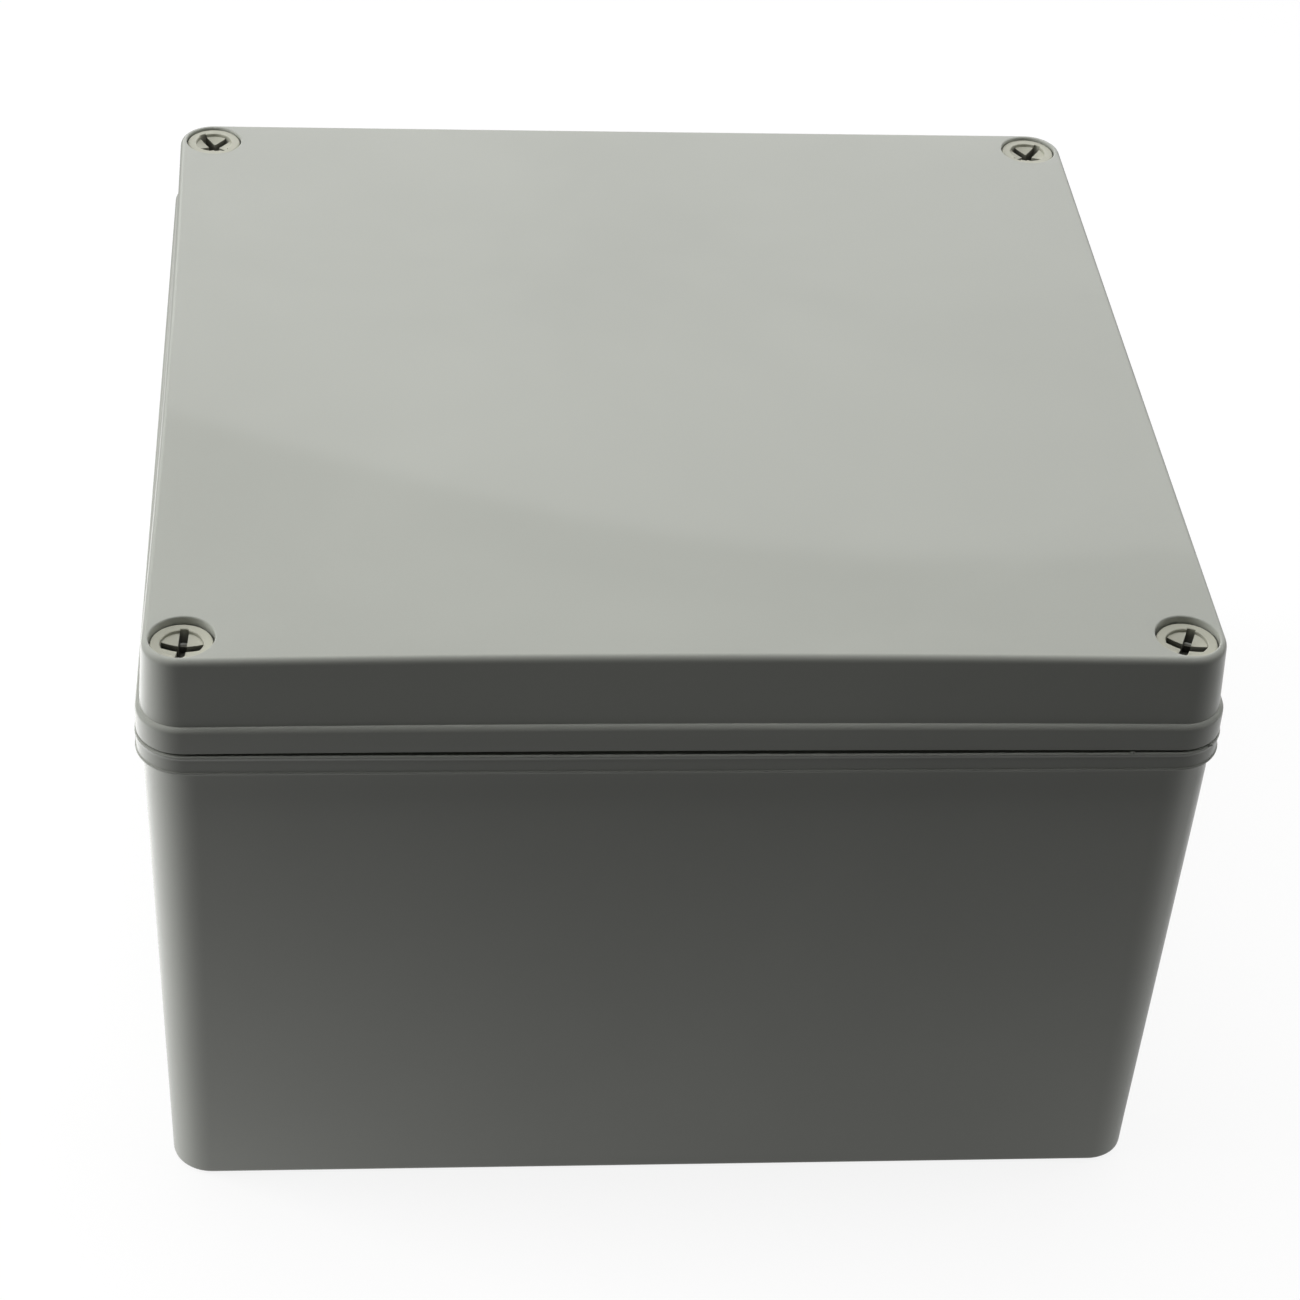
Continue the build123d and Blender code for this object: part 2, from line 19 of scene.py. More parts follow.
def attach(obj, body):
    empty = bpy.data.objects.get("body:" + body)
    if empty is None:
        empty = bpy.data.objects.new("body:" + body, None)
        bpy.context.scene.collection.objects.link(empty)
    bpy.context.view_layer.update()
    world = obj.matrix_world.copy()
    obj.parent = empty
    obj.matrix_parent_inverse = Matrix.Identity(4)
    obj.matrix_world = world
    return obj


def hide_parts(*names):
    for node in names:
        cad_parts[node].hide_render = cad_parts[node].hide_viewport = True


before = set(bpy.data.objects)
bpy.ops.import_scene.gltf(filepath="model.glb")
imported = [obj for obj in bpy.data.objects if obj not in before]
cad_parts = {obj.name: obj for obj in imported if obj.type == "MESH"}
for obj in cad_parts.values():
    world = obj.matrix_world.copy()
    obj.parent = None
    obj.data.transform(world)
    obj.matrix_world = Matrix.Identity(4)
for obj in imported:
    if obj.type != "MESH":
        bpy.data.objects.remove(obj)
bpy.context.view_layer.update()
scene = bpy.context.scene

MM = 0.001
CORNERS = {
    "front_left": (-1, -1), "front_right": (1, -1), "back_left": (-1, 1), "back_right": (1, 1),
}
SIGNS = list(CORNERS.values())
YZ = (1, 2)

# Places shared by several pieces
SCREW_XY = 90.9                 # lid screws, from the middle along X and Y
LID_BOTTOM, LID_TOP = 110.25, 130.0
COUNTERBORE_Z = 125.6           # where the lid screw heads sit
BASE_TOP = 109.5
CAVITY_FLOOR, POCKET_FLOOR = 3.0, 4.5
BOSS_TOP = 12.0
PLATE_BOTTOM, PLATE_TOP = BOSS_TOP, 13.5
PLATE_FIXINGS = [(sx * 72.0, sy * 52.0) for sx, sy in SIGNS]
RAIL_FIXINGS = [(-50.0, 0.0), (50.0, 0.0)]
RAIL_SHEET, RAIL_TOP = 1.0, 21.0
STUD = (62.0, -66.0)


# =============================================================================
# Outlines: closed rows of points in a plane
# =============================================================================
def arc(centre, radius, start, sweep, steps):
    """Points along an arc, both ends included."""
    angles = [start + sweep * i / steps for i in range(steps + 1)]
    return [(centre[0] + radius * cos(a), centre[1] + radius * sin(a)) for a in angles]


def circle(centre, radius, n, turn=0.0):
    return arc(centre, radius, turn, 2 * pi, n)[:-1]


def spin(points, turn):
    c, s = cos(turn), sin(turn)
    return [(c * x - s * y, s * x + c * y) for x, y in points]


def join(runs, steps):
    """Closes runs of points into one outline, dividing the straights between them."""
    outline = []
    for run, following in zip(runs, runs[1:] + runs[:1]):
        (x0, y0), (x1, y1) = run[-1], following[0]
        outline += run
        outline += [(x0 + (x1 - x0) * i / steps, y0 + (y1 - y0) * i / steps)
                    for i in range(1, steps)]
    return outline


def rounded_square(half, radius, side_steps):
    middle = half - radius
    quarters = ((1, -1, -90), (1, 1, 0), (-1, 1, 90), (-1, -1, 180))
    arcs = [arc((sx * middle, sy * middle), radius, radians(start), pi / 2, 14)
            for sx, sy, start in quarters]
    return join(arcs, side_steps)


def round_poly(corners, radius=None, n=5, steps=1):
    """Polygon with rounded corners.

    Corners are (x, y, radius), or (x, y) where one radius serves them all.
    """
    radii = [corner[2] if radius is None else radius for corner in corners]
    places = [np.array(corner[:2], float) for corner in corners]
    arcs = []
    for i, (place, rounding) in enumerate(zip(places, radii)):
        before, after = places[i - 1] - place, places[(i + 1) % len(places)] - place
        len_before, len_after = np.linalg.norm(before), np.linalg.norm(after)
        before, after = before / len_before, after / len_after
        angle = math.acos(max(-1, min(1, float(before @ after))))
        if rounding < 1e-6 or angle > pi - 0.02:
            arcs.append([tuple(place)])
            continue
        cut = min(rounding / math.tan(angle / 2), 0.48 * len_before, 0.48 * len_after)
        fitted = cut * math.tan(angle / 2)
        inward = (before + after) / np.linalg.norm(before + after)
        centre = place + inward * (fitted / sin(angle / 2))
        start = atan2(*(place + before * cut - centre)[::-1])
        end = atan2(*(place + after * cut - centre)[::-1])
        arcs.append(arc(centre, fitted, start, (end - start + pi) % (2 * pi) - pi, n))
    return join(arcs, steps)


def rectangle(centre, half_x, half_y, radius):
    corners = [(-half_x, -half_y), (half_x, -half_y), (half_x, half_y), (-half_x, half_y)]
    return [(centre[0] + x, centre[1] + y) for x, y in round_poly(corners, radius, n=3)]


def inset(outline, distance):
    """Moves a counter-clockwise outline inwards by distance, or outwards if negative."""
    points = np.array(outline)
    arriving = points - np.roll(points, 1, axis=0)
    leaving = np.roll(points, -1, axis=0) - points
    arriving /= np.linalg.norm(arriving, axis=1)[:, None]
    leaving /= np.linalg.norm(leaving, axis=1)[:, None]
    side = np.stack([-arriving[:, 1], arriving[:, 0]], 1)
    total = side + np.stack([-leaving[:, 1], leaving[:, 0]], 1)
    total /= np.maximum((total * side).sum(1), 0.35)[:, None]
    return [tuple(point) for point in points + total * distance]


def mirrored(outline, sx, sy):
    flipped = [(sx * x, sy * y) for x, y in outline]
    return flipped if sx * sy > 0 else flipped[::-1]


def bend(x, z, radius_x, radius_z, degrees):
    """Profile points on an ellipse about (x, z)."""
    return [(x + radius_x * cos(radians(a)), z + radius_z * sin(radians(a))) for a in degrees]


def grid(reach, step, wanted):
    stations = np.arange(-reach, reach + 1, step)
    return [(x, y) for x in stations for y in stations if wanted(x, y)]


def level_edge(outline, z):
    """Index of the long level edge of a YZ outline at height z."""
    ends = zip(outline, outline[1:] + outline[:1])
    return next(i for i, ((y0, z0), (y1, z1)) in enumerate(ends)
                if abs(y1 - y0) > 20 and abs(z0 - z) < 1e-6 and abs(z1 - z) < 1e-6)


# The gasket runs along the walls and swings inwards round each screw
SEAL_HALF = 97.1        # straight parts, from the middle
SEAL_CENTRE = 98.0      # centre of each corner swing, along X and Y
SEAL_SWING = 28.0
SEAL_FILLET, SEAL_FILLET_MIN = 4.0, 1.2


def seal(outwards):
    """The line that the gasket follows, moved outwards."""
    fillet = max(SEAL_FILLET + outwards, SEAL_FILLET_MIN)
    swing = SEAL_SWING - outwards
    x = SEAL_HALF + outwards - fillet
    y = SEAL_CENTRE - sqrt((swing + fillet) ** 2 - (SEAL_CENTRE - x) ** 2)
    meet = atan2(SEAL_CENTRE - y, SEAL_CENTRE - x)
    start = meet + pi
    end = pi / 2 - start + 2 * pi
    corner = arc((x, y), fillet, 0, meet, 8)
    turn_in = corner[:]
    corner += arc((SEAL_CENTRE, SEAL_CENTRE), swing, start, end - start, 24)[1:-1]
    corner += [(y, x) for x, y in reversed(turn_in)]
    return join([spin(corner, k * pi / 2) for k in range(4)], 20)


def hollow(half, seal_radius, post_radius):
    """Corner pocket between the walls, the seal's swing and the round screw column."""
    arc_steps, side_steps = 20, 6
    post_end = SCREW_XY - sqrt(post_radius ** 2 - (half - SCREW_XY) ** 2)
    seal_end = SEAL_CENTRE - sqrt(seal_radius ** 2 - (SEAL_CENTRE - half) ** 2)
    length = seal_end - post_end
    outline = [(half, post_end + length * i / side_steps) for i in range(side_steps)]
    start = atan2(seal_end - SEAL_CENTRE, half - SEAL_CENTRE) + 2 * pi
    end = atan2(half - SEAL_CENTRE, seal_end - SEAL_CENTRE) + 2 * pi
    outline += arc((SEAL_CENTRE, SEAL_CENTRE), seal_radius, start, end - start, arc_steps)[:-1]
    outline += [(seal_end - length * i / side_steps, half) for i in range(side_steps)]
    start = atan2(half - SCREW_XY, post_end - SCREW_XY)
    end = atan2(post_end - SCREW_XY, half - SCREW_XY) + 2 * pi
    return outline + arc((SCREW_XY, SCREW_XY), post_radius, start, end - start, arc_steps)[:-1]


# =============================================================================
# Mesh building
# =============================================================================
def inside(points, polygon):
    """Which of the points lie inside the closed polygon."""
    x, y = points[:, 0], points[:, 1]
    starts = np.asarray(polygon)
    within = np.zeros(len(points), bool)
    for (x0, y0), (x1, y1) in zip(starts, np.roll(starts, -1, axis=0)):
        if y1 != y0:
            crosses = (y0 > y) != (y1 > y)
            within ^= crosses & (x < (x1 - x0) * (y - y0) / (y1 - y0) + x0)
    return within


class Shell:
    """Collects the vertices and faces of closed surfaces; a loop is a list of vertex numbers."""

    def __init__(self):
        self.vertices, self.faces = [], []

    def points(self, points):
        start = len(self.vertices)
        self.vertices.extend([tuple(float(c) for c in point) for point in points])
        return list(range(start, start + len(points)))

    def loop(self, outline, z):
        return self.points([(x, y, z) for x, y in outline])

    def loop_yz(self, outline, x):
        return self.points([(x, y, z) for y, z in outline])

    def bridge(self, first, second, skip=()):
        """Quads between two loops, leaving out the edges whose numbers are in skip."""
        n = len(first)
        for i in range(n):
            if i not in skip:
                j = (i + 1) % n
                self.faces.append((first[i], first[j], second[j], second[i]))

    def stack(self, loops):
        for first, second in zip(loops, loops[1:]):
            self.bridge(first, second)

    def sweep(self, outline, profile, after=None, closed=False):
        """Joins the loops outline(size) at each (size, z), following on from a loop."""
        loops = [self.loop(outline(size), z) for size, z in profile]
        self.stack(([after] if after else []) + loops)
        if closed:
            self.bridge(loops[-1], loops[0])
        return loops

    def turned(self, centre, profile, n, turn=0.0, **joins):
        """Sweeps circles about a vertical axis; the profile is (radius, z)."""
        return self.sweep(lambda radius: circle(centre, radius, n, turn), profile, **joins)

    def thread(self, centre, start, z_from, z_to, rows, n, pitch, root, depth, flank=0.44,
               gain=1.15, turn=0.0, fades=(4.0, 4.0)):
        """Screw thread of given root radius; fades are rows over which its two ends die out."""
        last = start
        for k in range(1, rows + 1):
            z = z_from - (z_from - z_to) * k / rows
            fade = min(1.0, k / fades[0], (rows - k) / fades[1])
            ring = []
            for i in range(n):
                angle = 2 * pi * i / n
                phase = (z / pitch - angle / (2 * pi)) % 1.0
                crest = min(1.0, max(0.0, 1 - abs(phase - 0.5) / flank) * gain)
                radius = root + depth * crest * fade
                ring.append((centre[0] + radius * cos(angle + turn),
                             centre[1] + radius * sin(angle + turn)))
            current = self.loop(ring, z)
            self.bridge(last, current)
            last = current
        return last

    def fan(self, loop, tip):
        for a, b in zip(loop, loop[1:] + loop[:1]):
            self.faces.append((a, b, tip))

    def region(self, outer, holes=(), extra=(), dome=None, axes=(0, 1)):
        """Fills the outer loop, less the hole loops.

        Extra points divide the fill; dome(x, y) gives their height. Axes span the plane.
        """
        rims = [list(outer)] + [list(hole) for hole in holes]
        ids, edges = [], []
        for rim in rims:
            start, count = len(ids), len(rim)
            ids += rim
            edges += [(start + k, start + (k + 1) % count) for k in range(count)]
        level = self.vertices[ids[0]][2]
        ids += self.points([(x, y, dome(x, y) if dome else level) for x, y in extra])

        def flat(i):
            return [self.vertices[i][axis] for axis in axes]

        found, _, cells, origins, _, _ = delaunay_2d_cdt(
            [Vector(flat(i)) for i in ids], edges, [], 0, 1e-6)
        triangles = [cell for cell in cells if len(cell) == 3]
        places = np.array([[v[0], v[1]] for v in found])
        a, b, c = (places[k] for k in np.array(triangles).T)
        size = np.abs((b - a)[:, 0] * (c - a)[:, 1] - (b - a)[:, 1] * (c - a)[:, 0])
        centres = (a + b + c) / 3
        keep = inside(centres, [flat(i) for i in rims[0]])
        for rim in rims[1:]:
            keep &= ~inside(centres, [flat(i) for i in rim])

        # Triangles that meet across a free edge share one verdict, that of the largest of them
        walls = {frozenset((ids[p], ids[q])) for p, q in edges}
        keys = [[ids[origins[k][0]] if origins[k] else -1 - k for k in triangle]
                for triangle in triangles]
        owner, parent = {}, list(range(len(triangles)))

        def leader(i):
            while parent[i] != i:
                parent[i] = parent[parent[i]]
                i = parent[i]
            return i

        for n, key in enumerate(keys):
            for edge in map(frozenset, zip(key, key[1:] + key[:1])):
                if edge in walls:
                    continue
                if edge in owner:
                    parent[leader(n)] = leader(owner[edge])
                else:
                    owner[edge] = n
        largest = {}
        for n in range(len(triangles)):
            group = leader(n)
            if group not in largest or size[n] > size[largest[group]]:
                largest[group] = n
        for n, key in enumerate(keys):
            judge = largest[leader(n)]
            if keep[judge] and size[judge] > 1e-5 and len(set(key)) == 3 and min(key) >= 0:
                self.faces.append(tuple(key))

    def mesh(self, name, material, body, pieces=(), sharp=38.0, warp=None, weighted=True):
        """Makes the object; pieces are the CAD pieces that it replaces."""
        vertices = np.array(self.vertices)
        if warp:
            vertices = warp(vertices)
        data = bpy.data.meshes.new(name)
        data.from_pydata([tuple(p) for p in vertices * MM], [], self.faces)
        bm = bmesh.new()
        bm.from_mesh(data)
        bmesh.ops.remove_doubles(bm, verts=bm.verts, dist=1e-8)
        bmesh.ops.dissolve_degenerate(bm, edges=bm.edges, dist=1e-8)
        loose = [v for v in bm.verts if not v.link_faces]
        bmesh.ops.delete(bm, geom=loose, context="VERTS")
        bmesh.ops.recalc_face_normals(bm, faces=bm.faces)
        bm.to_mesh(data)
        bm.free()
        for polygon in data.polygons:
            polygon.use_smooth = True
        data.set_sharp_from_angle(angle=radians(sharp))
        ob = bpy.data.objects.new(name, data)
        scene.collection.objects.link(ob)
        data.materials.append(material)
        if weighted:
            modifier = ob.modifiers.new("normals", "WEIGHTED_NORMAL")
            modifier.keep_sharp = True
            modifier.weight = 80
        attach(ob, body)
        if pieces:
            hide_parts(*pieces)


def placer(shell, centre, turn):
    """Gives a function that adds points in a screw's own axes; z is a number or z(x, y)."""
    def place(points, z):
        return shell.points([
            (centre[0] + u, centre[1] + v, z(x, y) if callable(z) else z)
            for (x, y), (u, v) in zip(points, spin(points, turn))])
    return place


def bevelled(shell, outline, x0, x1, bevel):
    """Loops of a YZ outline drawn out along X, with rounded rims."""
    stations = ((bevel, x0), (bevel * 0.3, x0 + bevel * 0.3), (0.0, x0 + bevel),
                (0.0, x1 - bevel), (bevel * 0.3, x1 - bevel * 0.3), (bevel, x1))
    return [shell.loop_yz(inset(outline, distance), x) for distance, x in stations]


def prism(shell, outline, x0, x1, bevel):
    loops = bevelled(shell, outline, x0, x1, bevel)
    shell.stack(loops)
    shell.region(loops[0], axes=YZ)
    shell.region(loops[-1], axes=YZ)


# =============================================================================
# Materials
# =============================================================================
def shade(colour, factor):
    return tuple(c * factor for c in colour)


class Graph:
    """A node tree, with short ways to add the nodes used here."""

    def __init__(self, tree):
        self.nodes, self.links = tree.nodes, tree.links
        self.nodes.clear()

    def feed(self, socket, value):
        """Links an output to the socket, or sets its value; colours are given as RGB."""
        if isinstance(value, bpy.types.NodeSocket):
            self.links.new(value, socket)
        elif isinstance(value, tuple) and socket.type == "RGBA":
            socket.default_value = value + (1,)
        else:
            socket.default_value = value

    def add(self, kind, inputs=None, output=0, **settings):
        node = self.nodes.new("ShaderNode" + kind)
        for key, value in settings.items():
            setattr(node, key, value)
        for key, value in (inputs or {}).items():
            self.feed(node.inputs[key], value)
        return node.outputs[output]

    def math(self, operation, *values):
        return self.add("Math", dict(enumerate(values)), operation=operation)

    def total(self, values):
        return reduce(lambda a, b: self.math("ADD", a, b), values)

    def remap(self, value, span, to, **settings):
        return self.add("MapRange", dict(enumerate((value, *span, *to))), **settings)


class Material(Graph):
    def __init__(self, name):
        self.material = bpy.data.materials.new(name)
        self.material.use_nodes = True
        super().__init__(self.material.node_tree)
        self.surface = self.nodes.new("ShaderNodeOutputMaterial").inputs[0]
        self.principled = self.nodes.new("ShaderNodeBsdfPrincipled")
        self.feed(self.surface, self.principled.outputs[0])
        self.object_place = self.add("TexCoord", output="Object")

    def set(self, **values):
        for key, value in values.items():
            self.feed(self.principled.inputs[key.replace("_", " ")], value)

    def noise(self, scale, detail=2.0, rough=0.5, distortion=0.0, vector=None):
        return self.add("TexNoise", {
            "Scale": scale, "Detail": detail, "Roughness": rough, "Distortion": distortion,
            "Vector": vector or self.object_place}, output="Fac")

    def voronoi(self, scale, feature="F1", output="Distance"):
        return self.add("TexVoronoi", {"Scale": scale, "Vector": self.object_place},
                        output=output, feature=feature)

    def ramp(self, value, low, high):
        """Two-colour ramp; low and high are (position, colour)."""
        node = self.nodes.new("ShaderNodeValToRGB")
        for stop, (position, colour) in zip(node.color_ramp.elements, (low, high)):
            stop.position = position
            stop.color = colour + (1,)
        self.feed(node.inputs[0], value)
        return node.outputs[0]

    def mix(self, factor, first, second):
        # 0, 6 and 7 are the factor and the two colours; output 2 is the mixed colour
        return self.add("Mix", {0: factor, 6: first, 7: second}, output=2, data_type="RGBA")

    def xyz(self):
        self.feed(self.nodes.new("ShaderNodeSeparateXYZ").inputs[0], self.object_place)
        return self.nodes[-1].outputs

    def bump(self, height, strength, depth, normal=None):
        inputs = {"Strength": strength, "Distance": depth, "Height": height}
        if normal is not None:
            inputs["Normal"] = normal
        return self.add("Bump", inputs)


def moulded(name, colour, rough=0.36, grain=0.5, specular=0.45, coat=0.0, painted_recess_shade=0.0):
    """Moulded plastic: fine eroded grain, faint flow variation, and painted shade that darkens
    its slots and recesses towards black.
    """
    m = Material(name)
    flow = m.noise(scale=14.0, detail=3.0, rough=0.55, distortion=0.4)
    tint = m.ramp(flow, low=(0.30, shade(colour, 1 - 0.035)), high=(0.70, shade(colour, 1.035)))
    fine = m.noise(scale=2600.0, rough=0.6)
    tint = m.mix(m.remap(fine, span=(0.25, 0.75), to=(0.0, 0.10)), tint, shade(colour, 0.80))
    # Painted shade: where ambient occlusion finds the surface enclosed, the colour is mixed
    # towards near-black
    if painted_recess_shade:
        openness = m.add("AmbientOcclusion", {"Distance": 0.004}, output="AO",
                         samples=8, only_local=True)
        lit_share = m.remap(openness, span=(0.18, 0.62), to=(1.0 - painted_recess_shade, 1.0))
        tint = m.mix(lit_share, (0.012, 0.012, 0.010), tint)
    patches = m.noise(scale=60.0, detail=4.0, rough=0.6)
    gloss = m.math("ADD", m.remap(patches, span=(0.3, 0.7), to=(rough - 0.03, rough + 0.03)),
                   m.remap(fine, span=(0.3, 0.7), to=(-0.015, 0.015)))
    small = m.bump(m.noise(scale=1500.0, detail=3.0, rough=0.6),
                   strength=grain * 0.6, depth=0.00002)
    broad = m.bump(m.noise(scale=260.0), strength=grain * 0.35, depth=0.00003, normal=small)
    m.set(Base_Color=tint, Roughness=gloss, Normal=broad, Specular_IOR_Level=specular,
          Coat_Weight=coat, Coat_Roughness=0.035)
    return m.material


def metal(name, colour, rough=0.28, brush=None, grain=900.0):
    """Plated or turned metal: faint staining and fine scratches, drawn out by brush."""
    m = Material(name)
    stain = m.noise(scale=35.0, detail=4.0, rough=0.6, distortion=0.6)
    tint = m.ramp(stain, low=(0.30, shade(colour, 0.94)), high=(0.72, shade(colour, 1.06)))
    vector = brush and m.add("Mapping", {"Scale": brush, "Vector": m.object_place})
    scratches = m.noise(scale=grain, detail=3.0, rough=0.65, vector=vector)
    gloss = m.remap(scratches, span=(0.25, 0.75), to=(rough - 0.06, rough + 0.09))
    m.set(Base_Color=tint, Metallic=0.85, Roughness=gloss,
          Normal=m.bump(scratches, strength=0.35, depth=0.00002))
    return m.material


def galvanised(name):
    """Hot-dip zinc: crystalline spangle over a dull grey."""
    m = Material(name)
    spangle = 130.0
    split = m.nodes.new("ShaderNodeSeparateColor")
    m.feed(split.inputs[0], m.voronoi(scale=spangle, output="Color"))
    fine = m.noise(scale=700.0, detail=3.0, rough=0.6)
    tone = m.math("ADD", m.math("MULTIPLY", split.outputs[0], 0.75),
                  m.math("MULTIPLY", fine, 0.25))
    tint = m.ramp(tone, low=(0.15, (0.43, 0.45, 0.47)), high=(0.85, (0.60, 0.62, 0.64)))
    gloss = m.remap(split.outputs[1], span=(0.0, 1.0), to=(0.30, 0.48))
    border = m.voronoi(scale=spangle, feature="DISTANCE_TO_EDGE")
    crystals = m.bump(m.remap(border, span=(0.0, 0.05), to=(0.0, 1.0)),
                      strength=0.15, depth=0.00002)
    m.set(Base_Color=tint, Metallic=0.6, Roughness=gloss,
          Normal=m.bump(fine, strength=0.25, depth=0.00002, normal=crystals))
    return m.material


def rubber(name, colour):
    """Foamed rubber: closed cells and a dry sheen."""
    m = Material(name)
    cells = m.voronoi(scale=2200.0)
    tint = m.ramp(m.noise(scale=90.0, detail=3.0),
                  low=(0.3, shade(colour, 0.8)), high=(0.7, shade(colour, 1.35)))
    m.set(Base_Color=tint, Specular_IOR_Level=0.25,
          Roughness=m.remap(m.noise(scale=400.0), span=(0.3, 0.7), to=(0.72, 0.86)),
          Normal=m.bump(cells, strength=0.6, depth=0.00008))
    return m.material


def green_yellow(name):
    """Earth terminal plastic: green with yellow bands across Y."""
    m = Material(name)
    split = m.nodes.new("ShaderNodeSeparateXYZ")
    m.feed(split.inputs[0], m.object_place)
    across = m.math("ABSOLUTE", m.math("SUBTRACT", split.outputs["Y"], 0.0))
    wave_rate, band_limit = 420.0, 0.35     # radians per metre; sine above which it is yellow
    wave = m.math("SINE", m.math("MULTIPLY", across, wave_rate))
    tint = m.mix(m.math("GREATER_THAN", wave, band_limit),
                 (0.055, 0.23, 0.045), (0.66, 0.55, 0.03))
    fine = m.noise(scale=1500.0, detail=3.0, rough=0.6)
    mottle = m.remap(fine, span=(0.3, 0.7), to=(0.0, 0.12))
    m.set(Base_Color=m.mix(mottle, tint, (0.05, 0.08, 0.03)),
          Roughness=m.remap(m.noise(scale=60.0), span=(0.3, 0.7), to=(0.34, 0.42)),
          Normal=m.bump(fine, strength=0.3, depth=0.00002))
    return m.material


SCREW_COLOUR = (0.50, 0.50, 0.42)
BOX_PLASTIC = moulded("moulded_grey_plastic", (0.435, 0.447, 0.408), rough=0.42,
                      specular=0.30, coat=0.55)
# Both screw materials carry painted shade in their slots and recesses; the back pair gets less
# of it
SCREW_FRONT = moulded("screw_plastic", SCREW_COLOUR, grain=0.35, specular=0.5, painted_recess_shade=0.95)
SCREW_BACK = moulded("screw_plastic_less_recess_shade", SCREW_COLOUR, grain=0.35, specular=0.5,
                     painted_recess_shade=0.84)
RING_PLASTIC = moulded("ring_plastic", (0.62, 0.62, 0.58), rough=0.45)
GASKET_RUBBER = rubber("foamed_rubber", (0.028, 0.028, 0.028))
PLATE_ZINC = galvanised("galvanised_sheet")
RAIL_ZINC = metal("zinc_plated_rail", (0.66, 0.65, 0.60), rough=0.30, brush=(0.03, 1.0, 1.0),
                  grain=1400.0)
SCREW_ZINC = metal("zinc_plated_screws", (0.64, 0.65, 0.67), rough=0.27)
BRASS = metal("turned_brass", (0.70, 0.50, 0.20), rough=0.24)
BAR_TIN = metal("tinned_bar", (0.66, 0.64, 0.60), rough=0.34)
SPRING_STEEL = metal("spring_strip", (0.58, 0.59, 0.60), rough=0.22, brush=(1.0, 0.05, 0.05))
GREY = moulded("terminal_grey_plastic", (0.36, 0.375, 0.37), rough=0.40, grain=0.35)
CLAMP_GREY = moulded("end_clamp_plastic", (0.20, 0.21, 0.21), rough=0.42, grain=0.35)
BLUE = moulded("terminal_blue_plastic", (0.03, 0.12, 0.42), rough=0.38, grain=0.35)
GREEN = green_yellow("terminal_earth_plastic")
TAG_WHITE = moulded("blank_tag_plastic", (0.72, 0.72, 0.69), rough=0.45, grain=0.2)
ORANGE = moulded("release_button_plastic", (0.60, 0.22, 0.03), rough=0.38, grain=0.25)


# =============================================================================
# Lid
# =============================================================================
LID_HALF = 99.72
LID_SHOULDER = 114.75
BOW, BOW_REACH = 0.42, 98.2     # the screws pull the corners down by BOW at BOW_REACH
LEAN = 0.85                     # the sides lean in between the corners
LEAN_RIGHT = 0.3                # share of the lean on the right-hand side


def lid_warp(points):
    x, y, z = points.T
    rise = np.clip((z - 112.0) / 18.0, 0, 1)

    def near_side(across):
        step = np.clip((np.abs(across) - 70.0) / 26.0, 0, 1)
        return step ** 2 * (3 - 2 * step)

    def mid_span(along):
        return np.clip(1 - (along / 94.0) ** 2, 0, 1)

    share = np.where(x > 0, LEAN_RIGHT, 1.0)
    return np.stack([
        x - np.sign(x) * share * LEAN * rise * mid_span(y) * near_side(x),
        y - np.sign(y) * LEAN * rise * mid_span(x) * near_side(y),
        z - BOW * (x / BOW_REACH) ** 2 * (y / BOW_REACH) ** 2], axis=1)


